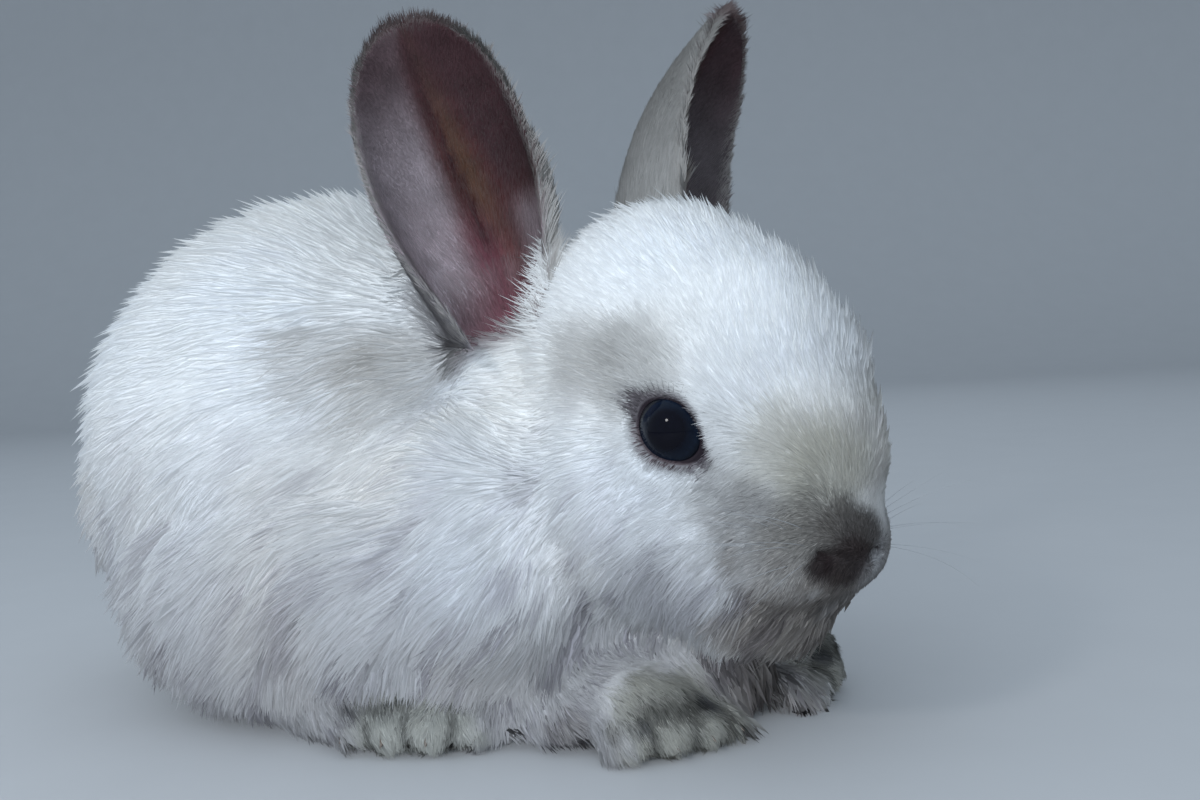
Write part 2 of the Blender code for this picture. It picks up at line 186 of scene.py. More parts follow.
def hash_noise(points, cell, seed):
    """Smooth noise from -1 to 1 on a grid of this cell size, the same each run."""
    q = np.asarray(points) / cell
    base = np.floor(q).astype(np.int64)
    part = q - base
    part = part * part * (3 - 2 * part)
    total = np.zeros(len(q))
    for corner in range(8):
        step = np.array((corner & 1, corner >> 1 & 1, corner >> 2 & 1))
        mixed = (base + step) @ HASH_AXES + seed * HASH_MORE
        mixed = (mixed ^ (mixed >> 13)) * HASH_MORE & 0x7FFFFFFF
        mixed = (mixed ^ (mixed >> 16)) & 0xFFFF
        weight = np.prod(np.where(step == 1, part, 1 - part), axis=1)
        total += weight * (mixed / HASH_MIDDLE - 1)
    return total


def mesh_object(name, points, faces=None, loops=None, starts=None):
    """An object from points in the work axes, with equal-sided faces or raw loops."""
    if faces is not None:
        faces = np.asarray(faces)
        loops = faces.ravel()
        starts = np.arange(len(faces)) * faces.shape[1]
    mesh = bpy.data.meshes.new(name)
    mesh.vertices.add(len(points))
    mesh.vertices.foreach_set("co", to_row(points).astype(np.float32).ravel())
    mesh.loops.add(len(loops))
    mesh.loops.foreach_set("vertex_index", np.asarray(loops, np.int32))
    mesh.polygons.add(len(starts))
    mesh.polygons.foreach_set("loop_start", np.asarray(starts, np.int32))
    mesh.update(calc_edges=True)
    mesh.polygons.foreach_set("use_smooth", np.ones(len(starts), bool))
    obj = bpy.data.objects.new(name, mesh)
    bpy.context.scene.collection.objects.link(obj)
    return obj


def tube_faces(rows, around):
    """The faces of four corners between rows of points that each close on themselves."""
    faces = []
    for row in range(rows):
        low, high = row * around, (row + 1) * around
        for index in range(around):
            after = (index + 1) % around
            faces.append((low + index, low + after, high + after, high + index))
    return faces


def applied(obj):
    """The object with its modifiers applied."""
    bpy.context.view_layer.update()
    graph = bpy.context.evaluated_depsgraph_get()
    result = bpy.data.meshes.new_from_object(obj.evaluated_get(graph))
    obj.modifiers.clear()
    obj.data = result
    return obj


def points_of(mesh):
    points = np.empty(len(mesh.vertices) * 3, np.float32)
    mesh.vertices.foreach_get("co", points)
    return to_work(points.reshape(-1, 3).astype(float))


def triangles_of(mesh):
    mesh.calc_loop_triangles()
    corners = np.empty(len(mesh.loop_triangles) * 3, np.int32)
    mesh.loop_triangles.foreach_get("vertices", corners)
    return corners.reshape(-1, 3)


def edges_of(mesh):
    ends = np.empty(len(mesh.edges) * 2, np.int32)
    mesh.edges.foreach_get("vertices", ends)
    return ends.reshape(-1, 2)


def normals_of(points, triangles):
    cross = np.cross(
        points[triangles[:, 1]] - points[triangles[:, 0]],
        points[triangles[:, 2]] - points[triangles[:, 0]],
    )
    total = np.zeros_like(points)
    for axis in range(3):
        for corner in range(3):
            total[:, axis] += np.bincount(triangles[:, corner], cross[:, axis], len(points))
    return unit(total)


def averaged(values, edges, steps, share=0.5):
    """Evens values out over the surface, towards the mean of their neighbours."""
    a, b = edges[:, 0], edges[:, 1]
    count = np.bincount(a, minlength=len(values)) + np.bincount(b, minlength=len(values))
    flat = values.reshape(len(values), -1).copy()
    share = np.broadcast_to(np.asarray(share, float), (len(values),))
    for _ in range(steps):
        for column in range(flat.shape[1]):
            v = flat[:, column]
            total = np.bincount(a, v[b], len(v)) + np.bincount(b, v[a], len(v))
            flat[:, column] = v + share * (total / np.maximum(count, 1) - v)
    return flat.reshape(values.shape)


def nearest(tree_points, queries):
    """For each query, the index of the nearest tree point and its distance."""
    tree = KDTree(len(tree_points))
    for index, point in enumerate(tree_points):
        tree.insert(point, index)
    tree.balance()
    found = np.array([tree.find(query)[1:] for query in queries])
    return found[:, 0].astype(int), found[:, 1]


# ---------------------------------------------------------------- the ears' own shape

def ear_width(along):
    """Half the ear's width at a share of its length."""
    rise = np.sin(np.clip(along / EAR_WIDEST_AT, 0, 1) * math.pi / 2) ** EAR_BASE_CURVE
    low = EAR_BASE_SHARE + (1 - EAR_BASE_SHARE) * rise
    share = np.clip((along - EAR_WIDEST_AT) / (1 - EAR_WIDEST_AT), 0, 1)
    high = np.sqrt(np.maximum(0.0, 1 - share**EAR_TIP_ROUNDNESS))
    return EAR_HALF_WIDTH * np.where(along < EAR_WIDEST_AT, low, high)


def ear_length(side_name):
    return np.linalg.norm(EAR_TIP[side_name] - EAR_ROOT[side_name])


def ear_axes(side_name):
    """The ear's way up, its way across and the way that its cup opens, in the head's axes."""
    rise = unit(EAR_TIP[side_name] - EAR_ROOT[side_name])
    angle = EAR_OPENS[side_name]
    opens = np.array((math.cos(angle), math.sin(angle), 0.0))
    opens = unit(opens - rise * (opens @ rise))
    return rise, np.cross(rise, opens), opens


def ear_points(side_name, along, share, inset):
    """Points of the cupped ear in the work axes, from its back moved in by the inset."""
    rise, across, opens = ear_axes(side_name)
    curl = mix(EAR_CURL_BASE, EAR_CURL_TIP, along)
    radius = ear_width(along) / np.sin(np.minimum(curl, math.pi / 2))
    angle = share * curl
    reach = radius - inset
    place = EAR_ROOT[side_name] + rise * (along * ear_length(side_name))[..., None]
    place = place + across * (reach * np.sin(angle))[..., None]
    place = place + opens * (radius - reach * np.cos(angle))[..., None]
    place = place - opens * (EAR_BOW[side_name] * np.sin(along * math.pi))[..., None]
    return head_to_work(place)


def ear_crease(along):
    """Where the crease up the inside of the cup lies across it."""
    return 0.13 - 0.22 * along - 0.22 * (1 - smooth(0.0, 0.22, along))


# The folds and the crease inside the cup: place across it, width, height
EAR_FOLDS = ((-0.10, 0.07, 0.45), (0.11, 0.07, 0.40), (0.0, 0.04, -0.45))


def ear_fold(along, share):
    """How far the folds stand up inside the cup, on each side of its crease, front edge at 1."""
    off = share - ear_crease(along)
    fold = sum(height * hill(off, place, width) for place, width, height in EAR_FOLDS)
    return fold * smooth(0.05, 0.2, along) * (1 - smooth(0.7, 0.92, along))


def ear_grid(side_name, rows, columns):
    """Points of the back and the inside of the ear, with their places on it."""
    along = 1 - (1 - np.arange(rows + 1) / rows) ** 1.35
    along = np.minimum(along, 0.994)
    share = np.linspace(-1, 1, columns + 1)
    along, share = np.meshgrid(along, share, indexing="ij")
    thick = mix(EAR_RIM_THICKNESS, EAR_THICKNESS, 1 - share * share)
    thick = np.minimum(thick, ear_width(along) * 0.8)
    back = ear_points(side_name, along, share, 0.0)
    inside = ear_points(side_name, along, share, thick + ear_fold(along, -SIDES[side_name] * share))
    return back, inside, along, share


def ear_shell(side_name):
    """The ear as one closed body: its points, and faces of four corners."""
    rows, columns = EAR_MESH
    back, inside, _, _ = ear_grid(side_name, rows, columns)
    ring = np.concatenate([back, inside[:, ::-1]], axis=1)
    around = ring.shape[1]
    points = ring.reshape(-1, 3)
    faces = tube_faces(rows, around)
    for low in (0, rows * around):
        last = low + around - 1
        for index in range(columns):
            faces.append((low + index, low + index + 1, last - 1 - index, last - index))
    return points, np.array(faces)


# ---------------------------------------------------------------- the skin

SKIN_VOXEL = 0.66
GAP_CLOSER = 0.28
EYE_MARGIN = 0.1


def welded(points, triangles):
    """The mesh with the points that lie on each other made one."""
    _, first, index = np.unique(
        np.round(points, 3), axis=0, return_index=True, return_inverse=True
    )
    return points[first], index.reshape(-1)[triangles]


def raw_skin():
    """Flesh, ears and eyeballs grown into one closed surface."""
    all_points, all_faces, labels, label_points = [], [], [], []
    start = 0
    for number, name in enumerate(FLESH):
        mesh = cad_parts[name].data
        points, triangles = welded(points_of(mesh), triangles_of(mesh))
        label_points.append(points)
        labels.append(np.full(len(points), number))
        grown = points + normals_of(points, triangles) * GAP_CLOSER
        all_points.append(grown)
        all_faces.append(triangles + start)
        start += len(grown)
    quads = []
    for side_name in SIDES:
        points, faces = ear_shell(side_name)
        all_points.append(points)
        quads.append(faces + start)
        start += len(points)
    for side in SIDES.values():
        bm = bmesh.new()
        bmesh.ops.create_icosphere(bm, subdivisions=4, radius=EYE_RADIUS + GAP_CLOSER + EYE_MARGIN)
        bm.verts.ensure_lookup_table()
        points = np.array([v.co for v in bm.verts]) + eye_centre(side)
        all_points.append(points)
        all_faces.append(np.array([[v.index for v in f.verts] for f in bm.faces]) + start)
        start += len(points)
        bm.free()
    triangles = np.concatenate(all_faces)
    quads = np.concatenate(quads)
    loops = np.concatenate([triangles.ravel(), quads.ravel()])
    starts = np.concatenate(
        [np.arange(len(triangles)) * 3, len(triangles) * 3 + np.arange(len(quads)) * 4]
    )
    obj = mesh_object("skin", np.concatenate(all_points), loops=loops, starts=starts)
    bm = bmesh.new()
    bm.from_mesh(obj.data)
    bmesh.ops.recalc_face_normals(bm, faces=bm.faces)
    bm.to_mesh(obj.data)
    bm.free()
    remesh = obj.modifiers.new("one_surface", "REMESH")
    remesh.mode = "VOXEL"
    remesh.voxel_size = SKIN_VOXEL * MM
    applied(obj)
    return obj, np.concatenate(label_points), np.concatenate(labels)


def refine(obj, wanted):
    """Splits the faces near the wanted places into four."""
    bm = bmesh.new()
    bm.from_mesh(obj.data)
    centres = np.array([f.calc_center_median() for f in bm.faces])
    chosen = wanted(to_work(centres))
    edges = {e for f, take in zip(bm.faces, chosen) if take for e in f.edges}
    bmesh.ops.subdivide_edges(bm, edges=list(edges), cuts=1, use_grid_fill=True)
    bmesh.ops.triangulate(bm, faces=[f for f in bm.faces if len(f.verts) > 4])
    bm.to_mesh(obj.data)
    bm.free()


# ---------------------------------------------------------------- the eyes and lids

EYE_OUT = (0.53, 0.84, 0.08)
EYE_SLANT = math.radians(33)
EYE_HALF_LENGTH = 0.93
EYE_HALF_HEIGHT = 0.66
EYE_ROUNDNESS = 1.75
EYE_REACH = 2.6
NOT_AT_EYE = 4.0
LID_OVER_EYE = 0.32
LID_FULLNESS = 0.75
LID_REACH = 1.9
OPENING_DEPTH = 1.5


def eye_axes(side):
    """The eye's way out, its long axis to the front corner, and its short axis up."""
    out = unit(np.array(EYE_OUT) * (1, side, 1)) @ HEAD_AXES
    level = unit(FORWARD - out * (FORWARD @ out))
    upward = unit(UP - out * (UP @ out) - level * (UP @ level))
    long = level * math.cos(EYE_SLANT) - upward * math.sin(EYE_SLANT)
    short = level * math.sin(EYE_SLANT) + upward * math.cos(EYE_SLANT)
    return out, long, short


def eye_field(points, side):
    """The lid's measure of each point: under 1 in the opening. Also x, y and the radius."""
    out, long, short = eye_axes(side)
    away = points - eye_centre(side)
    radius = np.linalg.norm(away, axis=1)
    way = away / np.maximum(radius, 1e-6)[:, None]
    x, y, front = away @ long / EYE_RADIUS, away @ short / EYE_RADIUS, way @ out
    power = EYE_ROUNDNESS
    ring = (np.abs(x / EYE_HALF_LENGTH) ** power + np.abs(y / EYE_HALF_HEIGHT) ** power) ** (1 / power)
    ring = np.where((front > 0.0) & (radius < EYE_RADIUS * EYE_REACH), ring, NOT_AT_EYE)
    return ring, x, y, radius


def eye_ring(points):
    """The lid's measure of each point, for the nearer eye."""
    return np.minimum(eye_field(points, -1)[0], eye_field(points, 1)[0])


def shape_lids(points):
    """Draws the skin into lids round each eyeball, and behind it in the opening."""
    for side in SIDES.values():
        ring, _, _, radius = eye_field(points, side)
        centre = eye_centre(side)
        lid = EYE_RADIUS + LID_OVER_EYE + LID_FULLNESS * smooth(1.02, 1.5, ring)
        target = mix(EYE_RADIUS - OPENING_DEPTH, lid, smooth(0.9, 1.04, ring))
        new_radius = mix(radius, target, 1 - smooth(1.2, 1.75, ring))
        near = radius < EYE_RADIUS * LID_REACH
        way = (points - centre) / np.maximum(radius, 1e-6)[:, None]
        points[near] = centre + (way * new_radius[:, None])[near]
    return points


# ---------------------------------------------------------------- the coat's guides
# Each guide: axes, group, place, lie, reach, depth of the coat over the skin, length,
# width, clump size. A guide off the middle is mirrored to the other side.

H, B, F, R = "head", "body", "fore", "hind"
GUIDES = {
    "nose": (H, "head", (33.5, -1, -14), (-0.3, 0, 0.95), 4.5, 0.28, 0.7, 0.14, 0.5),
    "nostril": (H, "head", (32.0, 3.5, -18), (-0.6, 0.3, -0.6), 3.0, 0.25, 0.6, 0.13, 0.5),
    "bridge": (H, "head", (32, 0, -4), (-0.35, 0, 0.94), 6, 1.3, 4.0, 0.22, 1.0),
    "brow": (H, "head", (26, 0, 9), (-0.6, 0, 0.8), 9, 1.8, 5.0, 0.26, 1.2),
    "crown": (H, "head", (6, 0, 29), (-0.97, 0, 0.15), 13, 2.2, 5.5, 0.36, 2.2),
    "poll": (H, "head", (-14, 0, 26), (-1, 0, -0.1), 12, 2.8, 6.5, 0.42, 3.0),
    "muzzle_side": (H, "head", (27, 9, -12), (-0.9, 0.4, -0.15), 5.5, 0.7, 1.8, 0.20, 1.0),
    "lip": (H, "head", (29, 6, -19), (-0.7, 0.35, -0.6), 4.5, 0.7, 1.8, 0.20, 0.9),
    "chin": (H, "head", (24, 0, -27), (-0.7, 0, -0.7), 7, 2.0, 6.0, 0.30, 2.2),
    "under_eye": (H, "head", (17, 15, -10), (-0.85, 0.25, -0.45), 6, 1.4, 3.4, 0.28, 1.6),
    "over_eye": (H, "head", (14, 14, 9), (-0.75, 0.1, 0.6), 6, 1.2, 3.0, 0.26, 1.4),
    "eye_rim": (H, "head", (16, 17.5, -1), (-0.95, 0.25, 0.0), 4.5, 0.5, 1.3, 0.17, 0.7),
    "temple": (H, "head", (4, 18.5, 4), (-0.97, 0.05, 0.1), 8, 1.8, 4.4, 0.31, 2.0),
    "cheek": (H, "head", (6, 21, -10), (-0.72, 0.25, -0.62), 10, 3.0, 7.0, 0.38, 3.0),
    "jaw": (H, "head", (12, 14, -23), (-0.6, 0.2, -0.78), 8, 2.8, 8.0, 0.36, 3.2),
    "throat": (H, "head", (2, 0, -34), (-0.75, 0, -0.65), 12, 3.3, 9.0, 0.40, 3.8),
    "poll_side": (H, "head", (-16, 19, 4), (-0.9, 0.2, -0.35), 10, 3.0, 7.0, 0.42, 3.0),
    "ear_front": (H, "head", (-13, 16, 15), (-0.80, 0.25, 0.45), 6.0, 2.2, 6.5, 0.34, 2.8),
    "nape": (B, "body", (-2, 0, 74), (-1, 0, 0.1), 14, 3.8, 8.5, 0.48, 4.0),
    "withers": (B, "body", (-22, 0, 82), (-1, 0, 0), 16, 3.8, 9.0, 0.50, 4.0),
    "back": (B, "body", (-50, 0, 80), (-0.95, 0, -0.3), 18, 3.8, 9.0, 0.50, 4.5),
    "rump": (B, "body", (-78, 0, 55), (-0.5, 0, -0.87), 16, 4.0, 9.5, 0.52, 4.5),
    "seat": (B, "body", (-80, 0, 16), (-0.35, 0, -0.94), 14, 3.6, 9.0, 0.50, 4.5),
    "shoulder": (B, "body", (-2, 30, 52), (-0.8, 0.1, -0.6), 15, 4.0, 9.5, 0.50, 5.0),
    "side": (B, "body", (-40, 38, 52), (-0.85, 0, -0.52), 18, 4.0, 9.5, 0.52, 5.0),
    "rump_side": (B, "body", (-70, 28, 35), (-0.6, 0, -0.8), 14, 4.0, 9.5, 0.52, 5.0),
    "haunch": (B, "body", (-38, 42, 28), (-0.65, 0, -0.76), 15, 4.2, 10.0, 0.52, 5.5),
    "flank": (B, "body", (-12, 38, 26), (-0.62, 0, -0.78), 13, 4.2, 10.0, 0.52, 5.5),
    "low_flank": (B, "body", (-30, 36, 8), (-0.55, 0, -0.83), 11, 3.2, 8.5, 0.50, 5.0),
    "chest": (B, "body", (24, 0, 16), (-0.45, 0, -0.9), 12, 3.5, 8.0, 0.45, 4.0),
    "breast": (B, "body", (42, 0, 11), (0.05, 0, -1), 9, 2.6, 9.0, 0.42, 3.6),
    "chest_side": (B, "body", (20, 22, 28), (-0.65, 0.1, -0.75), 10, 3.8, 8.5, 0.45, 4.5),
    "belly": (B, "body", (-25, 0, 3), (-1, 0, -0.1), 18, 2.6, 5.5, 0.50, 4.0),
    "wrist": (F, "fore", (-16.4, 6.7, 11), (0.8, 0, -0.6), 7, 1.9, 4.2, 0.32, 2.2),
    "forepaw": (F, "fore", (-5.2, 1.8, 10), (0.97, 0, -0.2), 7, 1.5, 3.8, 0.28, 2.0),
    "fore_toes": (F, "fore", (3, 0.1, 4), (0.65, 0, -0.75), 6, 1.0, 2.3, 0.25, 1.8),
    "hind_thigh": (B, "hind", (-32, 42, 28), (-0.65, 0, -0.76), 13, 4.2, 10.0, 0.52, 5.5),
    "hind_knee": (B, "hind", (-14, 38, 24), (-0.6, 0, -0.8), 9, 4.0, 9.5, 0.50, 5.0),
    "hind_low": (B, "hind", (-34, 38, 10), (-0.5, 0, -0.85), 9, 3.2, 8.0, 0.48, 4.5),
    "hock": (B, "hind", (-20, 30, 7), (0.5, 0.3, -0.7), 7, 2.0, 4.5, 0.36, 2.2),
    "hind_foot": (B, "hind", (-8, 28, 9), (0.9, 0.3, -0.3), 6, 1.5, 4.0, 0.30, 2.2),
    "hind_toes": (R, "hind", (3, 0.1, 4), (0.6, 0, -0.8), 6, 1.1, 2.5, 0.26, 2.0),
    "tail_root": (B, "tail", (-82, 2, 26), (-0.5, 0, 0.85), 7, 2.6, 7.0, 0.42, 3.0),
    "tail_tip": (B, "tail", (-86, 2, 36), (-0.4, 0, 0.9), 6, 2.4, 7.0, 0.40, 2.5),
}
GROUP_OF = {"head": "head", "neck": "body", "trunk": "body", "tail": "tail"}
OTHER_GROUP_PULL = 0.06
DEPTH_SHARE = 0.8


def spread_guides():
    """Every guide in the work axes, mirrored ones too: group, place, lie, reach, values."""
    rows = []
    for axes, group, place, lie, reach, *values in GUIDES.values():
        sides = (1, -1) if place[1] and group != "tail" else (1,)
        for side in sides:
            at, way = placed(axes, place, side), placed(axes, lie, side, True)
            rows.append((group, at, unit(way), reach, values))
    return rows


def guided(points, groups):
    """Lie, depth, length, width and clump size at each point."""
    total = np.full(len(points), 1e-9)
    lie = np.zeros((len(points), 3))
    values = np.zeros((len(points), 4))
    for group, at, way, reach, numbers in spread_guides():
        gap = np.linalg.norm(points - at, axis=1) / reach
        weight = np.exp(-gap * gap) + 1e-5 / (1 + gap**4)
        weight = weight * np.where(groups == group, 1.0, OTHER_GROUP_PULL)
        total += weight
        lie += weight[:, None] * way
        values += weight[:, None] * np.array(numbers)
    return unit(lie), values / total[:, None] * (DEPTH_SHARE, 1, 1, 1)


# ---------------------------------------------------------------- markings

WHITE = np.array((0.91, 0.91, 0.915))
# Painted shade: the grey that the coat turns towards near the floor
SHADE_GREY = np.array((0.36, 0.345, 0.36))
# Grey undercoat at the roots, partly painted shade low on the body
UNDERCOAT_AND_SHADE = np.array((0.64, 0.64, 0.67))
# Painted shade between the locks of the coat
CREASE = np.array((0.62, 0.60, 0.64))
WARMTH = 0.035 * np.array((1.0, 0.4, -0.6))
# How much of that painted shade each group takes at the floor, and the height where it is gone
LOW_SHADE = {"head": 0.36, "tail": 0.0, "other": 0.72}
LOW_SHADE_TOP = 60.0

# axes, place, inner radius, soft edge, colour, strength. Off the middle it is mirrored,
# but not in the axes N, which are the head's: the marks round the nose stand only where given.
N = "nose"
SPOTS = (
    # Painted shade in the hollow behind each ear, between the back and the cheek
    (B, (2, 27, 57), 5.0, 10.0, (0.48, 0.45, 0.42), 0.75),
    (B, (-8, 30, 57), 3.0, 8.0, (0.50, 0.47, 0.44), 0.60),
    (H, (11, 17, 6), 3.0, 7.0, (0.46, 0.45, 0.44), 0.60),
    (H, (3, 18.5, 7.5), 3.0, 6.0, (0.48, 0.465, 0.45), 0.50),
    (H, (22, 12.5, -7), 2.0, 5.0, (0.46, 0.45, 0.44), 0.55),
    (H, (29, 8, -5), 1.5, 6.0, (0.56, 0.54, 0.49), 0.70),
    (H, (26, 11, -13), 3.0, 5.5, (0.38, 0.37, 0.37), 0.80),
    (N, (32.0, -4, -7.5), 2.0, 5.5, (0.52, 0.50, 0.44), 0.80),
    (N, (31.2, -6.5, -12.5), 1.5, 4.0, (0.28, 0.265, 0.235), 0.85),
    (N, (30, -8, -15), 2.5, 5.0, (0.27, 0.255, 0.24), 0.85),
    (N, (25, -9, -20), 2.0, 5.0, (0.41, 0.39, 0.38), 0.65),
    (N, (32, 2.5, -21), 3.0, 5.0, (0.40, 0.39, 0.40), 0.85),
    # Round the mouth, on the chin and jaw and on the breast under the chin: partly the coat's own
    # brown-grey, partly painted shade under the head
    (H, (27, 5.5, -21.5), 3.0, 5.0, (0.35, 0.325, 0.31), 0.80),
    (N, (31, -2, -22.5), 2.5, 3.5, (0.25, 0.225, 0.21), 0.90),
    (H, (14, 16, -22), 3.0, 8.0, (0.40, 0.39, 0.42), 0.62),
    (H, (24, 6, -26), 4.0, 7.0, (0.36, 0.325, 0.30), 0.85),
    (B, (43, -1, 9), 5.0, 8.0, (0.27, 0.24, 0.225), 0.80),
    (N, (33.4, -2.8, -13.9), 1.8, 3.6, (0.125, 0.112, 0.104), 0.90),
    (N, (33.6, -0.8, -15.2), 1.6, 3.0, (0.105, 0.094, 0.090), 0.90),
    (N, (33.2, -2.2, -18.0), 2.0, 2.2, (0.050, 0.036, 0.035), 0.92),
    # Painted shade in the right nostril
    (N, (31.0, -5.6, -17.4), 0.8, 1.4, (0.022, 0.012, 0.013), 0.90),
    (N, (30.0, -5.0, -21.3), 0.6, 1.0, (0.60, 0.58, 0.58), 0.60),
    (F, (-1.0, 4.5, 10.5), 4.0, 5.0, (0.78, 0.77, 0.77), 0.80),
    (F, (-8.6, 10.7, 3.3), 2.5, 3.0, (0.30, 0.28, 0.28), 0.70),
    (F, (3.0, 0.8, 3.6), 7.0, 4.0, (0.44, 0.43, 0.385), 0.85),
    (F, (3.0, 7.4, 7.0), 1.0, 1.7, (0.13, 0.13, 0.14), 0.85),
    (F, (2.8, -3.6, 7.9), 1.4, 1.7, (0.12, 0.12, 0.13), 0.85),
    (F, (0.3, 10.2, 6.1), 0.8, 1.4, (0.16, 0.15, 0.15), 0.70),
    # Painted shade on the fur just above the hind toes
    (R, (3.0, 4.9, 11.5), 4.0, 4.5, (0.38, 0.37, 0.39), 0.75),
    (R, (2.8, 10.5, 8.6), 0.8, 1.6, (0.17, 0.17, 0.19), 0.70),
    (R, (4.4, -2.4, 7.6), 0.8, 1.6, (0.20, 0.20, 0.22), 0.70),
    (R, (5.0, 0.1, 4.2), 8.0, 4.0, (0.50, 0.50, 0.465), 0.85),
    (B, (-86, 2, 33), 6.0, 10.0, (0.58, 0.56, 0.56), 0.60),
)


# Painted shade in the clefts between the toes and in a broken band over them
TOE_STEP = {"fore": 5.6, "hind": 6.3}
TOE_TOP = {"fore": 7.6, "hind": 8.3}
TOE_SHADE = 0.32
CLEFT_WIDTH = 0.75
KNUCKLE_WIDTH = 1.5


def painted_toe_shade(points, groups):
    """Painted shade: 1 in the clefts between the toes and in patches over them, and none on them."""
    cleft = np.zeros(len(points))
    for limb, side_name in FOOT_STAND:
        start, rows = foot_axes(limb, SIDES[side_name])
        ahead, out, up = ((points - start) @ rows.T).T
        step = TOE_STEP[limb]
        off = np.abs(out)
        line = hill(np.abs(out - step * np.round(out / step)), 0.0, CLEFT_WIDTH) * (off < 1.5 * step)
        line *= smooth(-1.0, 2.0, ahead) * (1 - smooth(6.0, 9.0, up))
        over = hill(up, TOE_TOP[limb], KNUCKLE_WIDTH) * smooth(-1.5, 2.0, ahead) * (off < 2.2 * step)
        over *= smooth(-0.9, 0.1, hash_noise(points, 4.0, 31))
        own = (groups == limb) & (out > -3 * step)
        cleft = np.maximum(cleft, np.maximum(line, over) * own)
    return cleft


def body_colour(points, groups):
    """The coat's markings everywhere but on the ears and round the eyes, with painted shade: greyer
    towards the floor, behind the ears, under the head and between the toes.
    """
    colour = WHITE * (1 + hash_noise(points, 13.0, 3)[:, None] * WARMTH)
    # Painted shade: greyer towards the floor
    grey = np.select([groups == "head", groups == "tail"], [LOW_SHADE["head"], LOW_SHADE["tail"]],
                     LOW_SHADE["other"])
    grey = grey * (1 - smooth(0, LOW_SHADE_TOP, points[:, 2]))
    colour = mix(colour, SHADE_GREY, grey[:, None])
    wobble = 1 + 0.22 * hash_noise(points, 5.0, 5) + 0.16 * hash_noise(points, 2.0, 6)
    for axes, place, radius, soft, tint, strength in SPOTS:
        for side in (1, -1) if place[1] and axes != N else (1,):
            gap = np.linalg.norm(points - placed(axes, place, side), axis=1) * wobble
            amount = strength * (1 - smooth(radius, radius + soft, gap))
            colour = mix(colour, np.array(tint), amount[:, None])
    return colour * (1 - (1 - TOE_SHADE) * painted_toe_shade(points, groups))[:, None]


EYE_SKIN = np.array((0.030, 0.021, 0.028))
LID_PINK = np.array((0.17, 0.075, 0.085))
# The creases in front of the eye, drawn only as dark lines of painted shade: slope, height at the
# corner
EYE_FOLDS = ((-0.15, -0.10), (0.25, 0.02), (-0.55, -0.24), (0.02, -0.42))


def eye_colour(points, colour):
    """Dark lids, a dark wedge at each corner, painted shade along the creases in front of the eye, and
    a pink edge inside the lower lid.
    """
    for side in SIDES.values():
        ring, x, y, _ = eye_field(points, side)
        rear = smooth(0.35, 0.85, -x) * (1 - smooth(0.18, 0.42, np.abs(y + 0.02)))
        front = smooth(0.45, 0.85, x) * (1 - smooth(0.10, 0.3, np.abs(y)))
        edge = 1.12 + 0.30 * rear + 0.16 * front + 0.06 * smooth(0.0, 0.5, y)
        # Painted shade along the creases
        folds = np.zeros(len(ring))
        for slope, start in EYE_FOLDS:
            folds = np.maximum(folds, hill(y - start - slope * (x - 0.8), 0.0, 0.035))
        folds = folds * hill(ring, 1.15, 0.9) * smooth(0.6, 0.95, x)
        pink = hill(ring, 1.12, 0.05) * smooth(0.2, 0.6, -y)
        for tint, amount in (
            (EYE_SKIN * 2.2, 0.85 * (1 - smooth(edge - 0.10, edge + 0.34, ring))),
            (EYE_SKIN * 4, 0.55 * folds),
            (EYE_SKIN, 1 - smooth(1.06, 1.16, ring)),
            (LID_PINK, 0.35 * pink),
        ):
            colour = mix(colour, tint, amount[:, None])
    return colour


EAR_EDGE = np.array((0.21, 0.19, 0.21))
EAR_BACK = np.array((0.345, 0.335, 0.325))
EAR_BACK_PALE = np.array((0.58, 0.57, 0.56))
EAR_DARK = np.array((0.078, 0.036, 0.041))
EAR_RED = np.array((0.105, 0.036, 0.036))
EAR_ORANGE = np.array((0.150, 0.072, 0.045))
EAR_PINK = np.array((0.23, 0.080, 0.105))
EAR_MAUVE = np.array((0.45, 0.375, 0.405))
EAR_MAUVE_LOW = np.array((0.60, 0.50, 0.54))
FAR_EAR_PAINTED_SHADE = 0.30
# Painted shade down the groove of the crease inside the cup
EAR_CREASE = np.array((0.050, 0.013, 0.017))


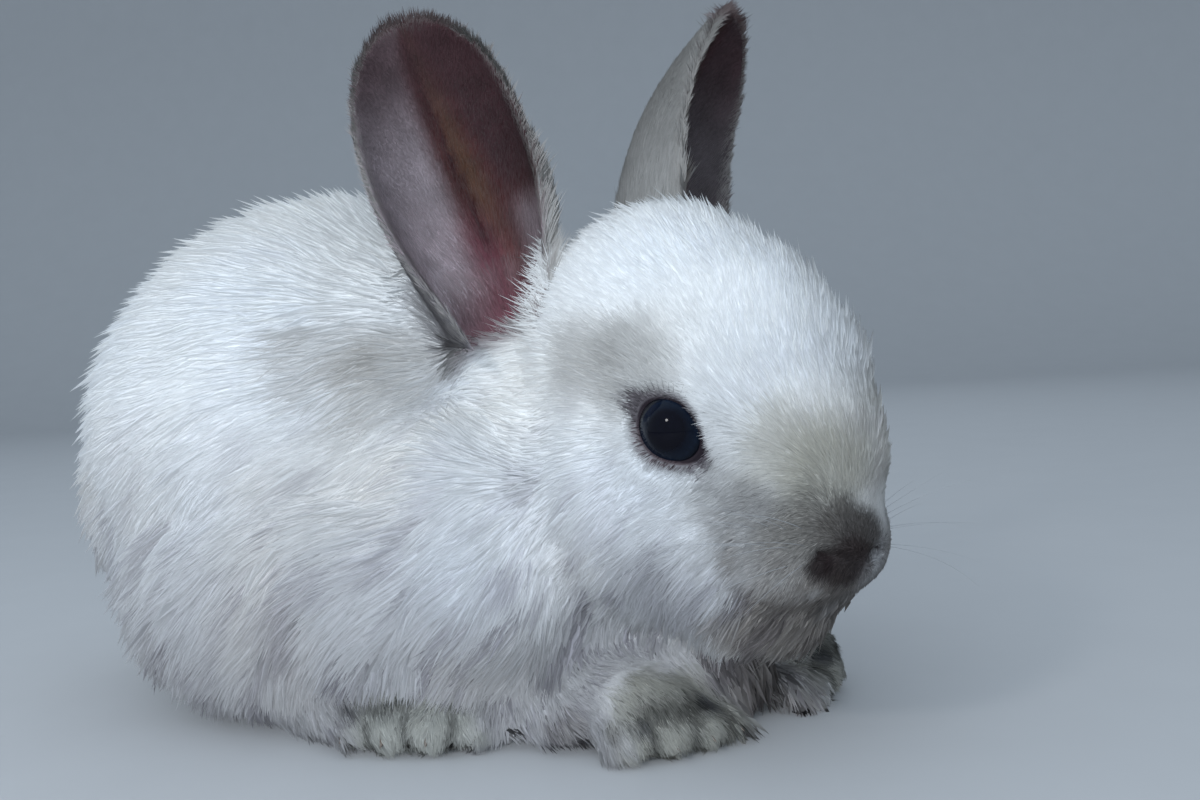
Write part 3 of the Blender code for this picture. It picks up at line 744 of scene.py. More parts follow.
def ear_colour(along, share, inside, points, left):
    """The ear's markings, with painted shade on the left ear's cup wall. The share goes from -1 at its
    rear edge to 1 at its front edge.
    """
    grain = hash_noise(points, 2.2, 11)[:, None]
    back = mix(EAR_BACK_PALE, EAR_BACK, smooth(0.1, 0.7, along)[:, None]) * (1 + 0.10 * grain)
    rear = smooth(0.35, 0.75, -share) * (1 - smooth(0.35, 0.6, along))
    for tint, amount in ((EAR_DARK * 2.2, 0.75 * smooth(0.86, 1.0, along)), (EAR_EDGE, 0.85 * rear)):
        back = mix(back, tint, amount[:, None])
    off = share - ear_crease(along)
    wall = mix(EAR_MAUVE_LOW, EAR_MAUVE, smooth(0.25, 0.65, along)[:, None])
    # Painted shade: the left ear's cup wall is darker than the right one's
    wall = wall * mix(1.0, FAR_EAR_PAINTED_SHADE, left)[:, None]
    # Painted shade along the crease's groove
    crease = hill(off, 0.0, 0.030) * smooth(0.04, 0.10, along) * (1 - smooth(0.72, 0.9, along))
    cup = wall
    for tint, amount in (
        (EAR_RED, smooth(-0.30, -0.04, off)),
        (EAR_ORANGE, hill(off, 0.11, 0.09)),
        (EAR_DARK, smooth(0.22, 0.42, off) * smooth(0.30, 0.5, along)),
        (EAR_PINK, hill(off, -0.03, 0.22) * (1 - smooth(0.18, 0.48, along))),
        (wall, 0.6 * smooth(0.2, 0.5, off) * (1 - smooth(0.3, 0.42, along))),
        (EAR_DARK, 0.85 * smooth(0.52, 0.90, along)),
        (EAR_CREASE, 0.85 * crease),
    ):
        cup = mix(cup, tint, amount[:, None])
    return np.where(inside[:, None], cup * (1 + 0.22 * grain), back)


# ---------------------------------------------------------------- the face's small forms

# The nostrils and the mouth, as lines through these head places, and mirrored. The nose
# itself sits a little to the right.
NOSE_SIDE = (0.0, -1.0, 0.0)
NOSE_SLITS = ((33.8, 1.0, -18.2), (33.0, 3.0, -17.0), (31.2, 4.8, -16.2))
LIP_LINES = ((33.8, 0.0, -17.6), (33.0, 0.0, -20.0), (30.4, 3.6, -22.2), (25.5, 7.0, -23.4))
SLIT_DEPTH = 1.1
LIP_DEPTH = 0.75
FACE_LOW = (22, -13, -27)
FACE_HIGH = (99, 13, -6)
PAD_PLACE = (29.5, 5.6, -17.0)
PAD_SIZE = (4.0, 3.2, 3.6)
PAD_RISE = 0.45


def from_line(points, start, end):
    """How far each point is from a straight line between two places."""
    along = np.clip(((points - start) @ (end - start)) / np.sum((end - start) ** 2), 0, 1)
    return np.linalg.norm(points - start - along[:, None] * (end - start), axis=1)


def groove(points, line, width):
    """1 on the line, and none a few widths away, on both sides of the head."""
    near = np.full(len(points), 99.0)
    here = work_to_head(points)
    for side in (1, -1):
        places = np.array(line) * (1, side, 1) + NOSE_SIDE
        for start, end in zip(places, places[1:]):
            near = np.minimum(near, from_line(here, start, end))
    return hill(near, 0.0, width)


def shape_face(points, normals):
    """Presses the nostrils and lips in, and lets the whisker pads swell."""
    points = points - normals * (SLIT_DEPTH * groove(points, NOSE_SLITS, 0.6))[:, None]
    points = points - normals * (LIP_DEPTH * groove(points, LIP_LINES, 0.55))[:, None]
    here = work_to_head(points)
    here[:, 1] = np.abs(here[:, 1])
    pad = np.exp(-np.sum(((here - PAD_PLACE) / PAD_SIZE) ** 2, axis=1))
    return points + normals * (PAD_RISE * pad)[:, None]


# ---------------------------------------------------------------- building the skin

def near_face(points):
    here = work_to_head(points)
    return np.all((here > FACE_LOW) & (here < FACE_HIGH), axis=1)


def near_eye(points):
    found = np.zeros(len(points), bool)
    for side in SIDES.values():
        ring, _, _, radius = eye_field(points, side)
        found |= (ring < 1.75) & (radius > EYE_RADIUS - 0.5) & (radius < EYE_RADIUS + 3)
    return found


BROAD_STEPS = 55
EARS_ABOVE = 55
EAR_NEARNESS = 1.0
INSET_STEPS = 6
SOFT_STEPS = 30
LOWEST_SKIN = 0.25
SLIT_PAINTED_SHADE = np.array((0.02, 0.011, 0.012))
CUP_FLOOR = 0.02
CUP_DEPTH_TO = 0.34


def evened(points, triangles, edges, share):
    """Takes flat facets away, and gives back the fullness that this costs."""
    even = averaged(points, edges, BROAD_STEPS, share)
    normals = normals_of(even, triangles)
    lost = np.sum((points - even) * normals, axis=1)
    return even + normals * averaged(lost, edges, BROAD_STEPS, share)[:, None]


def cup_floor(points, side_name):
    """How far a point is inside the foot of an ear's cup, 0 to 1, and its place along and across."""
    rise, across, opens = ear_axes(side_name)
    here = work_to_head(points) - EAR_ROOT[side_name]
    along = here @ rise / ear_length(side_name)
    share = np.clip(along, 0, 1)
    curl = mix(EAR_CURL_BASE, EAR_CURL_TIP, share)
    radius = ear_width(share) / np.sin(np.minimum(curl, math.pi / 2))
    back = here @ opens - radius + EAR_BOW[side_name] * np.sin(share * math.pi)
    wide = here @ across
    away = np.hypot(back, wide) / radius
    angle = np.arctan2(wide, -back)
    below = along < CUP_DEPTH_TO
    amount = (1 - smooth(0.55, 0.92, away)) * smooth(-0.10, 0.02, along) * below
    within = (1 - smooth(0.97, 1.10, away)) * smooth(-0.01, 0.04, along) * below
    return amount, within, along, np.clip(angle / curl, -1, 1)


def sink_cups(points, on_ear):
    """Lowers the head's skin inside each cup, so that the cup opens down to its foot."""
    cup = np.zeros(len(points))
    cup_along, cup_share = np.zeros(len(points)), np.zeros(len(points))
    for side_name in SIDES:
        amount, within, along, share = cup_floor(points, side_name)
        free = on_ear < 0.5
        amount, within = amount * free, within * free
        drop = amount * np.maximum(0, along - CUP_FLOOR) * ear_length(side_name)
        rise = ear_axes(side_name)[0] @ HEAD_AXES
        points = points - rise * drop[:, None]
        chosen = within > cup
        cup = np.where(chosen, within, cup)
        cup_along = np.where(chosen, along, cup_along)
        cup_share = np.where(chosen, share, cup_share)
    return points, cup, cup_along, cup_share


def skin_groups(points, label_points, labels):
    """The group of flesh that each point of the skin lies over."""
    found, _ = nearest(label_points, points)
    names = np.array([GROUP_OF.get(n, "fore" if "front" in n else "hind") for n in FLESH])
    return names[labels[found]]


def ear_places(points):
    """Where each point is on its nearest ear: along, across, in the cup or not, the ear's side,
    and 1 for a point that is on the ear at all."""
    grids = [ear_grid(name, *EAR_SAMPLES) for name in SIDES]
    samples = np.concatenate([layer.reshape(-1, 3) for grid in grids for layer in grid[:2]])
    along_at = np.concatenate([np.tile(grid[2].ravel(), 2) for grid in grids])
    share_at = np.concatenate([np.tile(grid[3].ravel(), 2) for grid in grids])
    half = grids[0][2].size
    inside_at = np.tile(np.repeat((False, True), half), 2)
    side_at = np.repeat((-1, 1), half * 2)
    high = points[:, 2] > EARS_ABOVE
    at, gap = np.zeros(len(points), int), np.full(len(points), 99.0)
    at[high], gap[high] = nearest(samples, points[high])
    on_ear = (gap < EAR_NEARNESS).astype(float)
    return along_at[at], share_at[at], inside_at[at], side_at[at], on_ear


def ear_coat(along, share, inside, to_front, ear_side):
    """The lie of the hair on the ears, its guides' values there, and 1 at the rim."""
    ways = {side: [way @ HEAD_AXES for way in ear_axes(name)] for name, side in SIDES.items()}
    on_right = (ear_side < 0)[:, None]
    rise, across = (np.where(on_right, ways[-1][index], ways[1][index]) for index in (0, 1))
    fan = np.where(inside, 1.1, 0.25 + np.clip(to_front, 0, 1)) * share
    rim = np.maximum(smooth(0.84, 0.97, np.abs(share)), smooth(0.93, 0.99, along))
    base = 1 - smooth(0.18, 0.4, along)
    values = np.stack([
        np.full(len(along), 0.22),
        np.where(inside, 1.0, 2.2) + 0.4 * rim
        + 3.5 * base * ~inside * smooth(-0.2, 0.3, to_front)
        + 1.2 * (1 - smooth(0.3, 0.6, along)) * inside,
        np.where(inside, 0.16, 0.21) + 0.08 * base,
        np.full(len(along), 0.9),
    ], axis=1)
    return unit(rise + across * fan[:, None]), values, rim


def build_skin():
    """The skin, and for each of its points all that the coat needs to know."""
    obj, label_points, labels = raw_skin()
    refine(obj, lambda p: near_face(p) | near_eye(p))
    refine(obj, near_eye)
    points = points_of(obj.data)
    edges = edges_of(obj.data)
    triangles = triangles_of(obj.data)

    # Which part each point belongs to, and where it is on an ear
    groups = skin_groups(points, label_points, labels)
    along, share, inside, ear_side, on_ear = ear_places(points)
    points, cup, cup_along, cup_share = sink_cups(points, on_ear)
    in_cup = cup > 0.25
    along = np.where(in_cup, np.clip(cup_along, 0.02, 1), along)
    share = np.where(in_cup, 0.25 * cup_share - 0.04, share)
    inside = averaged((inside | in_cup).astype(float), edges, 5) > 0.5
    cup_side = np.where(work_to_head(points)[:, 1] < 0, -1, 1)
    ear_side = np.where(in_cup, cup_side, ear_side)
    to_front = -ear_side * share
    cup = averaged(cup, edges, 3)
    on_ear = averaged(on_ear, edges, 6)

    ring = eye_ring(points)
    leg = ((groups == "fore") | (groups == "hind")).astype(float)
    broad = (1 - np.minimum(on_ear + cup, 1)) * smooth(1.5, 2.6, ring) * (1 - 0.92 * leg)
    broad = averaged(broad, edges, 8)
    steady = mix(0.5, 0.06, on_ear) * (1 - 0.7 * averaged(leg, edges, 6))
    points = averaged(points, edges, 14, steady)
    points = evened(points, triangles, edges, 0.5 * broad)
    on_ear = np.minimum(on_ear + cup, 1)

    lie, values = guided(points, groups)
    lie = averaged(lie, edges, 12)
    values = averaged(values, edges, 16)
    ear_lie, ear_values, rim = ear_coat(along, share, inside, to_front, ear_side)
    lie = unit(mix(lie, ear_lie, on_ear[:, None]))
    values = mix(values, ear_values, on_ear[:, None])
    ring = eye_ring(points)
    at_eye = 1 - smooth(1.5, 2.6, ring)
    values[:, 0] = mix(values[:, 0], 0.35, at_eye)
    values[:, 1] = mix(values[:, 1], 0.9, 1 - smooth(1.1, 2.2, ring))

    depth = values[:, 0] + GAP_CLOSER * (1 - on_ear)
    band = on_ear * ~inside * smooth(0.35, 0.7, to_front) * (1 - smooth(0.30, 0.62, along))
    band = averaged(band, edges, 3)
    depth = averaged(depth, edges, 6)
    for _ in range(INSET_STEPS):
        points = points - normals_of(points, triangles) * (depth / INSET_STEPS)[:, None]
        points = averaged(points, edges, 1, 0.35 * (1 - on_ear))
    points[:, 2] = np.maximum(points[:, 2], LOWEST_SKIN)
    points = shape_lids(points)
    points = averaged(points, edges, 1, 0.3 * (1 - on_ear))
    points = shape_face(points, normals_of(points, triangles))

    # The long pale fur on the front of each ear's back
    values[:, 0] = values[:, 0] + 1.3 * band + 0.35 * on_ear * ~inside
    values[:, 1] = mix(values[:, 1], 5.0, band)
    values[:, 2] = mix(values[:, 2], 0.26, band)

    # The lids' measure again, as the skin now lies
    ring = eye_ring(points)
    colour = body_colour(points, groups)
    ear = ear_colour(along, to_front, inside, points, (ear_side > 0).astype(float))
    foot = inside * (1 - smooth(0.15, 0.30, along))
    ear = averaged(ear, edges, 8, 0.5 * foot)
    colour = mix(colour, ear, on_ear[:, None])
    # Painted shade in the pressed-in nostril slits and lip lines
    slit = np.maximum(groove(points, NOSE_SLITS, 0.75), 0.8 * groove(points, LIP_LINES, 0.6))
    colour = mix(colour, SLIT_PAINTED_SHADE, slit[:, None])
    colour = eye_colour(points, colour)
    obj.data.vertices.foreach_set("co", to_row(points).astype(np.float32).ravel())
    obj.data.update()
    normals = normals_of(points, triangles)
    lie = along_surface(lie, normals)
    fields = {
        "points": points, "triangles": triangles, "normals": normals,
        "soft": averaged(normals, edges, SOFT_STEPS, 0.5 * (1 - 0.9 * on_ear)),
        "groups": groups, "lie": lie, "values": values, "colour": colour,
        "on_ear": on_ear, "inside": inside.astype(float), "along": along, "share": share,
        "rim": rim, "ring": ring, "slit": slit,
    }
    return obj, fields


def unwrap(obj):
    """Lays the skin's own shape out flat, for the skin and for each tuft's patch."""
    obj.data.uv_layers.new(name="OFBake")
    bpy.ops.object.select_all(action="DESELECT")
    obj.select_set(True)
    bpy.context.view_layer.objects.active = obj
    bpy.ops.object.mode_set(mode="EDIT")
    bpy.ops.mesh.select_all(action="SELECT")
    bpy.ops.uv.smart_project(angle_limit=math.radians(70), island_margin=0.002)
    bpy.ops.object.mode_set(mode="OBJECT")


def triangle_uvs(mesh):
    layer = mesh.uv_layers["OFBake"]
    uv = np.empty(len(mesh.loops) * 2, np.float32)
    layer.data.foreach_get("uv", uv)
    uv = uv.reshape(-1, 2)
    corners = np.empty(len(mesh.loop_triangles) * 3, np.int32)
    mesh.loop_triangles.foreach_get("loops", corners)
    return uv[corners.reshape(-1, 3)]


# ---------------------------------------------------------------- the coat

TUFTS = 369000
MOST_IN_PIECE = 49500
PATCH = 0.003
TUFT_WIDTH = 0.58
TUFT_FLATNESS = 0.45
SIDE_SPREAD = 0.6
LOWEST_COAT = 0.05
SKIN_SHADING = 0.45
TUFT_CORNERS = [0, 1, 2, 1, 3, 2, 0, 3, 1, 0, 2, 3]
# Painted light and shade: pale roots and middles are made lighter, and tips on the head darker, to
# even out the shade between tufts
ROOT_PAINTED_LIGHT = 1.10
MID_PAINTED_LIGHT = 1.06
TIP_PAINTED_SHADE = {"head": 0.90, "body": 1.0}
BRIGHTEST = {"root": 0.97, "mid": 0.96, "tip": 0.94}
FRINGE = np.array((0.52, 0.49, 0.47))


def triangle_areas(fields):
    p = fields["points"][fields["triangles"]]
    return np.linalg.norm(np.cross(p[:, 1] - p[:, 0], p[:, 2] - p[:, 0]), axis=1) / 2


def pick_roots(fields, uvs, density, count):
    """Evenly spread roots on the skin, more where the density is higher."""
    tri = fields["triangles"]
    weight = triangle_areas(fields) * density[tri].mean(axis=1)
    total = np.cumsum(weight)
    marks = (np.arange(count) + rng.random(count)) / count * total[-1]
    face = np.minimum(np.searchsorted(total, marks), len(tri) - 1)
    a, b = rng.random(count), rng.random(count)
    flip = a + b > 1
    a, b = np.where(flip, 1 - a, a), np.where(flip, 1 - b, b)
    share = np.stack([1 - a - b, a, b], axis=1)
    roots = {"uv": np.sum(uvs[face] * share[..., None], axis=1)}
    for key in ("points", "normals", "soft", "lie", "values", "colour"):
        roots[key] = np.sum(fields[key][tri[face]] * share[..., None], axis=1)
    for key in ("on_ear", "inside", "along", "share", "rim"):
        roots[key] = np.sum(fields[key][tri[face]] * share, axis=1)
    roots["groups"] = fields["groups"][tri[face, 0]]
    return roots


def clumps(points, sizes, seeds):
    """For each root, the root that its clump gathers at and how far away that is."""
    count = len(points)
    odds = np.minimum(1.0, 2.2 / np.maximum(seeds * sizes * sizes, 1e-3))
    leaders = np.flatnonzero(rng.random(count) < odds)
    found, gap = nearest(points[leaders], points)
    return leaders[found], gap


LOCK_SIZE = 1.9
SWIRLS = ((0.35, 14.0, 21), (0.28, 5.0, 22))
SWIRL_SPREAD = 0.16
LENGTH_SPREAD = 0.20
LIFT_SPREAD = 0.06
LIFT_GAIN = 1.15
TIP_LIFT = 0.55
DEEPEST_ROOT = 0.25
STRAY_SHARE = 0.09
STRAY_LIFT = 0.28


def grow(roots, per_area):
    """The spine of every tuft, the way across it, its size, and how far it is from its clumps."""
    count = len(roots["points"])
    normals = unit(roots["normals"])
    lie = along_surface(roots["lie"], normals)
    side = np.cross(normals, lie)
    p, on_ear = roots["points"], roots["on_ear"]
    depth, length, width, clump = roots["values"].T
    swirl = sum(turn * hash_noise(p, cell, seed) for turn, cell, seed in SWIRLS)
    swirl = (swirl + SWIRL_SPREAD * rng.normal(size=count)) * mix(1.0, 0.45, on_ear)
    lie = lie * np.cos(swirl)[:, None] + side * np.sin(swirl)[:, None]
    side = np.cross(normals, lie)
    length = length * np.clip(1 + LENGTH_SPREAD * rng.normal(size=count), 0.5, 1.5)
    rise = np.clip(depth / np.maximum(length, 0.1), 0.05, 0.75)
    lift = np.arcsin(rise) * LIFT_GAIN + LIFT_SPREAD * rng.normal(size=count)
    stray = (rng.random(count) < STRAY_SHARE) * smooth(2.0, 4.5, length) * (1 - on_ear)
    lift = np.clip(lift + STRAY_LIFT * stray, 0.08, 1.2)
    tip_lift = lift * TIP_LIFT + LIFT_SPREAD * rng.normal(size=count)
    first = lie * np.cos(lift)[:, None] + normals * np.sin(lift)[:, None]
    second = lie * np.cos(tip_lift)[:, None] + normals * np.sin(tip_lift)[:, None]
    root = p - normals * np.minimum(DEEPEST_ROOT, 0.3 * depth)[:, None]
    mid = root + first * (0.5 * length)[:, None]
    tip = mid + second * (0.5 * length)[:, None]
    low = 1 - smooth(22, 62, p[:, 2])
    gaps = []
    for size, most in ((clump, 0.10 + 0.35 * low), (clump * LOCK_SIZE, 0.30 * low)):
        leader, gap = clumps(p, size, per_area)
        gap = gap / np.maximum(size, 0.2)
        gaps.append(gap)
        pull = most * (1 - smooth(0.5, 1.4, gap))
        pull = pull * (0.45 + 0.55 * rng.random(count)) * mix(1.0, 0.3, on_ear)
        aim = tip[leader] + rng.normal(size=(count, 3)) * (0.10 * size)[:, None]
        tip = mix(tip, aim, pull[:, None])
        mid = mix(mid, mid[leader], (0.32 * pull)[:, None])
    return root, mid, tip, side, length, width, gaps


def tuft_mesh(name, root, mid, tip, side, width, root_colour, mid_colour, tip_colour, uv, normal):
    """A closed body for each tuft, bent and pointed at both ends, shaded mostly as the skin lies."""
    count = len(root)
    way = unit(tip - root)
    side = unit(side - way * np.sum(side * way, axis=1)[:, None])
    out = np.cross(way, side)
    w = (width * TUFT_WIDTH / 2)[:, None]
    bend = np.sum((mid - root) * out, axis=1)[:, None]
    mid = mid + out * np.maximum(0, w * TUFT_FLATNESS - bend)
    points = np.stack([root, mid - side * w, mid + side * w, tip], axis=1)
    points[..., 2] = np.maximum(points[..., 2], LOWEST_COAT)
    faces = np.arange(count)[:, None] * 4 + np.array(TUFT_CORNERS)
    obj = mesh_object(name, points.reshape(-1, 3), faces.reshape(-1, 3))
    mesh = obj.data
    colours = np.ones((count, 4, 4), np.float32)
    colours[:, 0, :3] = root_colour
    colours[:, 1:3, :3] = mid_colour[:, None]
    colours[:, 3, :3] = tip_colour
    layer = mesh.color_attributes.new("coat", "FLOAT_COLOR", "POINT")
    layer.data.foreach_set("color", colours.ravel())
    patch = np.array(((0.0, -0.5), (-0.5, 0.0), (0.5, 0.0), (0.0, 0.5)))[TUFT_CORNERS]
    centre = np.clip(uv, PATCH, 1 - PATCH)
    corners = centre[:, None] + patch[None] * PATCH
    layer = mesh.uv_layers.new(name="OFBake")
    layer.data.foreach_set("uv", corners.astype(np.float32).ravel())
    spread = SIDE_SPREAD * side
    outward = np.stack([out, out - spread, out + spread, out], axis=1)
    soft = unit(mix(outward, normal[:, None], SKIN_SHADING))
    mesh.normals_split_custom_set_from_vertices(soft.reshape(-1, 3))
    return obj


def coat_room(values):
    """Tufts of this width and length that it takes to cover a square millimetre, roughly."""
    return 1 / np.maximum(values[:, 2] * np.sqrt(values[:, 1]), 0.2)


def coat_density(fields):
    """Roots per area: fewer inside the ears and underneath, more at the rims of the ears."""
    density = coat_room(fields["values"]) * (fields["ring"] > 1.12)
    density = density * (1 - smooth(0.35, 0.6, fields["slit"]))
    density = density * mix(1.0, mix(0.8, 0.35, fields["inside"]), fields["on_ear"])
    density = density * mix(1.0, 1.7, fields["on_ear"] * fields["rim"])
    under = (fields["points"][:, 2] < 3) & (fields["normals"][:, 2] < -0.5)
    return density * np.where(under, 0.35, 1.0)


def region_names(roots):
    """The piece of coat that each tuft belongs to."""
    side = np.where(roots["points"][:, 1] < 0, "right", "left")
    head_side = np.where(work_to_head(roots["points"])[:, 1] < 0, "right", "left")
    names = np.char.add(np.char.add("coat_", roots["groups"]), "_")
    names = np.char.add(names, np.where(roots["groups"] == "head", head_side, side))
    names = np.where(roots["on_ear"] > 0.5, np.char.add("coat_ear_", head_side), names)
    names = np.where(roots["groups"] == "tail", "coat_tail", names)
    return names


# Greyer streaks between the locks, painted shade, long down and back along the coat and narrow across
# it
STREAK_LIE = unit(np.array((-0.65, 0.0, -0.76)))
STREAK_CROSS = np.array((-STREAK_LIE[2], 0.0, STREAK_LIE[0]))
SIDEWAYS = np.array((0.0, 1.0, 0.0))
STREAK_AXES = np.stack([STREAK_LIE / 8.0, STREAK_CROSS / 1.7, SIDEWAYS / 4.0], axis=1)
# The same painted shade on the muzzle, round a place in the head's axes, shorter and browner
MOTTLE_PLACE = np.array((24.0, 8.0, -14.0))
MOTTLE_AXES = np.stack([STREAK_LIE / 5.0, STREAK_CROSS / 1.7, SIDEWAYS / 3.0], axis=1)
MOTTLE_SHADE = np.array((0.52, 0.50, 0.48))
MOTTLE = 0.80
# How much a tuft is shortened that would come out through an ear's wall
THROUGH_SHARE = 0.85


def through_wall(roots, tips, fields):
    """1 for a tuft on the back of an ear whose tip would come out inside the cup."""
    ear = np.flatnonzero(fields["on_ear"] > 0.9)
    middle = (roots["on_ear"] > 0.5) & (np.abs(roots["share"]) < 0.8) & (roots["along"] < 0.9)
    some = np.flatnonzero(middle & (roots["inside"] < 0.5))
    at, _ = nearest(fields["points"][ear], tips[some])
    found = np.zeros(len(tips))
    found[some] = fields["inside"][ear][at]
    return found[:, None]


def shaded(roots, length, gaps, low):
    """Each tuft's colour: the skin's markings, with painted shade: greyer between locks and in
    streaks, more so lower down, and in darker strokes on the muzzle.
    """
    colour = roots["colour"]
    furry = (1 - roots["on_ear"]) * smooth(2.5, 6.0, length)
    for gap, most in zip(gaps, (0.60, 0.50)):
        crease = smooth(0.50, 1.10, gap) * furry * most
        colour = mix(colour, colour * CREASE, (crease * (0.15 + 0.85 * low))[:, None])
    streak = smooth(0.0, 0.6, hash_noise(roots["points"] @ STREAK_AXES, 1.0, 41))
    streak = streak * furry * (0.05 + 0.72 * low)
    colour = mix(colour, colour * CREASE, streak[:, None])
    reach = np.linalg.norm(work_to_head(roots["points"]) * (1, 0.8, 1) - MOTTLE_PLACE, axis=1)
    mottle = smooth(-0.1, 0.7, hash_noise(roots["points"] @ MOTTLE_AXES, 1.0, 47))
    mottle = MOTTLE * mottle * (1 - smooth(8, 17, reach)) * (roots["groups"] == "head")
    return mix(colour, colour * MOTTLE_SHADE, mottle[:, None]), furry


def tuft_colours(roots, length, gaps):
    """The colours at every tuft's root, middle and tip."""
    count = len(length)
    on_ear, on_head = roots["on_ear"], roots["groups"] == "head"
    low = 1 - smooth(15, 58, roots["points"][:, 2])
    # The roots take on the grey undercoat, the more so lower down, where it is partly painted shade
    under = (np.where(on_head, 0.0, 0.04) + 0.40 * low) * (1 - on_ear) * smooth(1.5, 5.0, length)
    colour, furry = shaded(roots, length, gaps, low)
    dark = 1 - smooth(0.25, 0.75, colour.mean(axis=1) / WHITE.mean())
    spread = 0.04 + 0.06 * on_ear + 0.22 * dark * (1 - on_ear)
    shade = np.clip(1 + spread[:, None] * rng.normal(size=count)[:, None], 0.5, 1.6)
    root = mix(colour, colour * UNDERCOAT_AND_SHADE / WHITE, under[:, None]) * shade
    mid = mix(colour, root, 0.35) * shade
    tip = np.minimum(colour * (1 + 0.04 * rng.normal(size=count)[:, None]), BRIGHTEST["tip"])
    # Painted light on pale roots and middles, painted shade on the head's tips
    bright = (smooth(0.3, 0.85, colour.mean(axis=1)) * furry)[:, None]
    root = np.minimum(mix(root, root * ROOT_PAINTED_LIGHT, bright), BRIGHTEST["root"])
    mid = np.minimum(mix(mid, mid * MID_PAINTED_LIGHT, bright), BRIGHTEST["mid"])
    gain = np.where(on_head, TIP_PAINTED_SHADE["head"], TIP_PAINTED_SHADE["body"])[:, None]
    tip = mix(tip, tip * gain, bright)
    pale = on_ear * (0.15 + 0.85 * roots["rim"]) * (rng.random(count) < 0.75)
    pale = (pale * (1 - 0.6 * smooth(0.62, 0.9, roots["along"])))[:, None]
    return root, mix(mid, FRINGE, pale * 0.6), mix(tip, FRINGE, pale * 0.8)


def build_coat(skin, fields):
    """The coat, as pieces that each hold the tufts of one region, or of a slice of it."""
    density = coat_density(fields)
    roots = pick_roots(fields, triangle_uvs(skin.data), density, TUFTS)
    area = np.sum(density[fields["triangles"]].mean(axis=1) * triangle_areas(fields))
    per_area = coat_room(roots["values"]) * TUFTS / area
    root, mid, tip, side, length, width, gaps = grow(roots, per_area)
    short = THROUGH_SHARE * through_wall(roots, tip, fields)
    mid, tip = mix(mid, root, short), mix(tip, root, short)
    colours = tuft_colours(roots, length, gaps)
    rows = (root, mid, tip, side, width, *colours, roots["uv"], unit(roots["soft"]))
    names = region_names(roots)
    pieces = []
    for name in sorted(set(names)):
        chosen = np.flatnonzero(names == name)
        parts = math.ceil(len(chosen) / MOST_IN_PIECE)
        order = chosen[np.argsort(roots["points"][chosen, 0], kind="stable")]
        for number, some in enumerate(np.array_split(order, parts), 1):
            label = name if parts == 1 else f"{name}_{number}"
            pieces.append(tuft_mesh(label, *(row[some] for row in rows)))
    return pieces


# ---------------------------------------------------------------- materials

def new_material(name):
    material = bpy.data.materials.new(name)
    material.use_nodes = True
    nodes = material.node_tree.nodes
    return material, nodes, material.node_tree.links, nodes["Principled BSDF"]


def noise_node(nodes, links, scale, detail=4.0, roughness=0.6):
    place = nodes.new("ShaderNodeTexCoord")
    noise = nodes.new("ShaderNodeTexNoise")
    noise.inputs["Scale"].default_value = scale
    noise.inputs["Detail"].default_value = detail
    noise.inputs["Roughness"].default_value = roughness
    links.new(place.outputs["Object"], noise.inputs["Vector"])
    return noise.outputs["Fac"]


def ranged(nodes, links, value, low, high):
    step = nodes.new("ShaderNodeMapRange")
    step.inputs["To Min"].default_value = low
    step.inputs["To Max"].default_value = high
    links.new(value, step.inputs["Value"])
    return step.outputs["Result"]


def tinted(nodes, links, colour, factor):
    """The colour times a factor."""
    step = nodes.new("ShaderNodeVectorMath")
    step.operation = "SCALE"
    links.new(colour, step.inputs[0])
    links.new(factor, step.inputs["Scale"])
    return step.outputs["Vector"]


def coat_marks(nodes, links, scale, low, high):
    """The coat's own colours, made lighter and darker by a fine grain; and the grain."""
    marks = nodes.new("ShaderNodeAttribute")
    marks.attribute_name = "coat"
    grain = noise_node(nodes, links, scale)
    factor = ranged(nodes, links, grain, low, high)
    return tinted(nodes, links, marks.outputs["Color"], factor), grain


def fur_material(name, roughness, through):
    """Hair: colour from the coat's markings, with fine streaks, and light let through."""
    material, nodes, links, shader = new_material(name)
    colour, grain = coat_marks(nodes, links, 900.0, 0.90, 1.08)
    links.new(colour, shader.inputs["Base Color"])
    rough = ranged(nodes, links, grain, roughness - 0.08, roughness + 0.08)
    links.new(rough, shader.inputs["Roughness"])
    shader.inputs["Specular IOR Level"].default_value = 0.25
    glow = nodes.new("ShaderNodeBsdfTranslucent")
    links.new(colour, glow.inputs["Color"])
    blend = nodes.new("ShaderNodeMixShader")
    blend.inputs["Fac"].default_value = through
    links.new(shader.outputs["BSDF"], blend.inputs[1])
    links.new(glow.outputs["BSDF"], blend.inputs[2])
    links.new(blend.outputs["Shader"], nodes["Material Output"].inputs["Surface"])
    return material


def skin_material():
    """Matt, finely pitted skin in the coat's colours."""
    material, nodes, links, shader = new_material("skin")
    colour, grain = coat_marks(nodes, links, 1400.0, 0.82, 1.12)
    links.new(colour, shader.inputs["Base Color"])
    links.new(ranged(nodes, links, grain, 0.5, 0.75), shader.inputs["Roughness"])
    shader.inputs["Specular IOR Level"].default_value = 0.15
    bump = nodes.new("ShaderNodeBump")
    bump.inputs["Strength"].default_value = 0.35
    bump.inputs["Distance"].default_value = 0.00015
    links.new(grain, bump.inputs["Height"])
    links.new(bump.outputs["Normal"], shader.inputs["Normal"])
    return material


# The eye's colours from the pupil out to the edge
PUPIL = (0.40, (0.002, 0.002, 0.005, 1))
IRIS = (
    (0.55, (0.0035, 0.0060, 0.013, 1)),
    (0.70, (0.0048, 0.0088, 0.0185, 1)),
    (0.84, (0.002, 0.003, 0.006, 1)),
)
EYE_EDGE = (0.98, (0.002, 0.002, 0.003, 1))


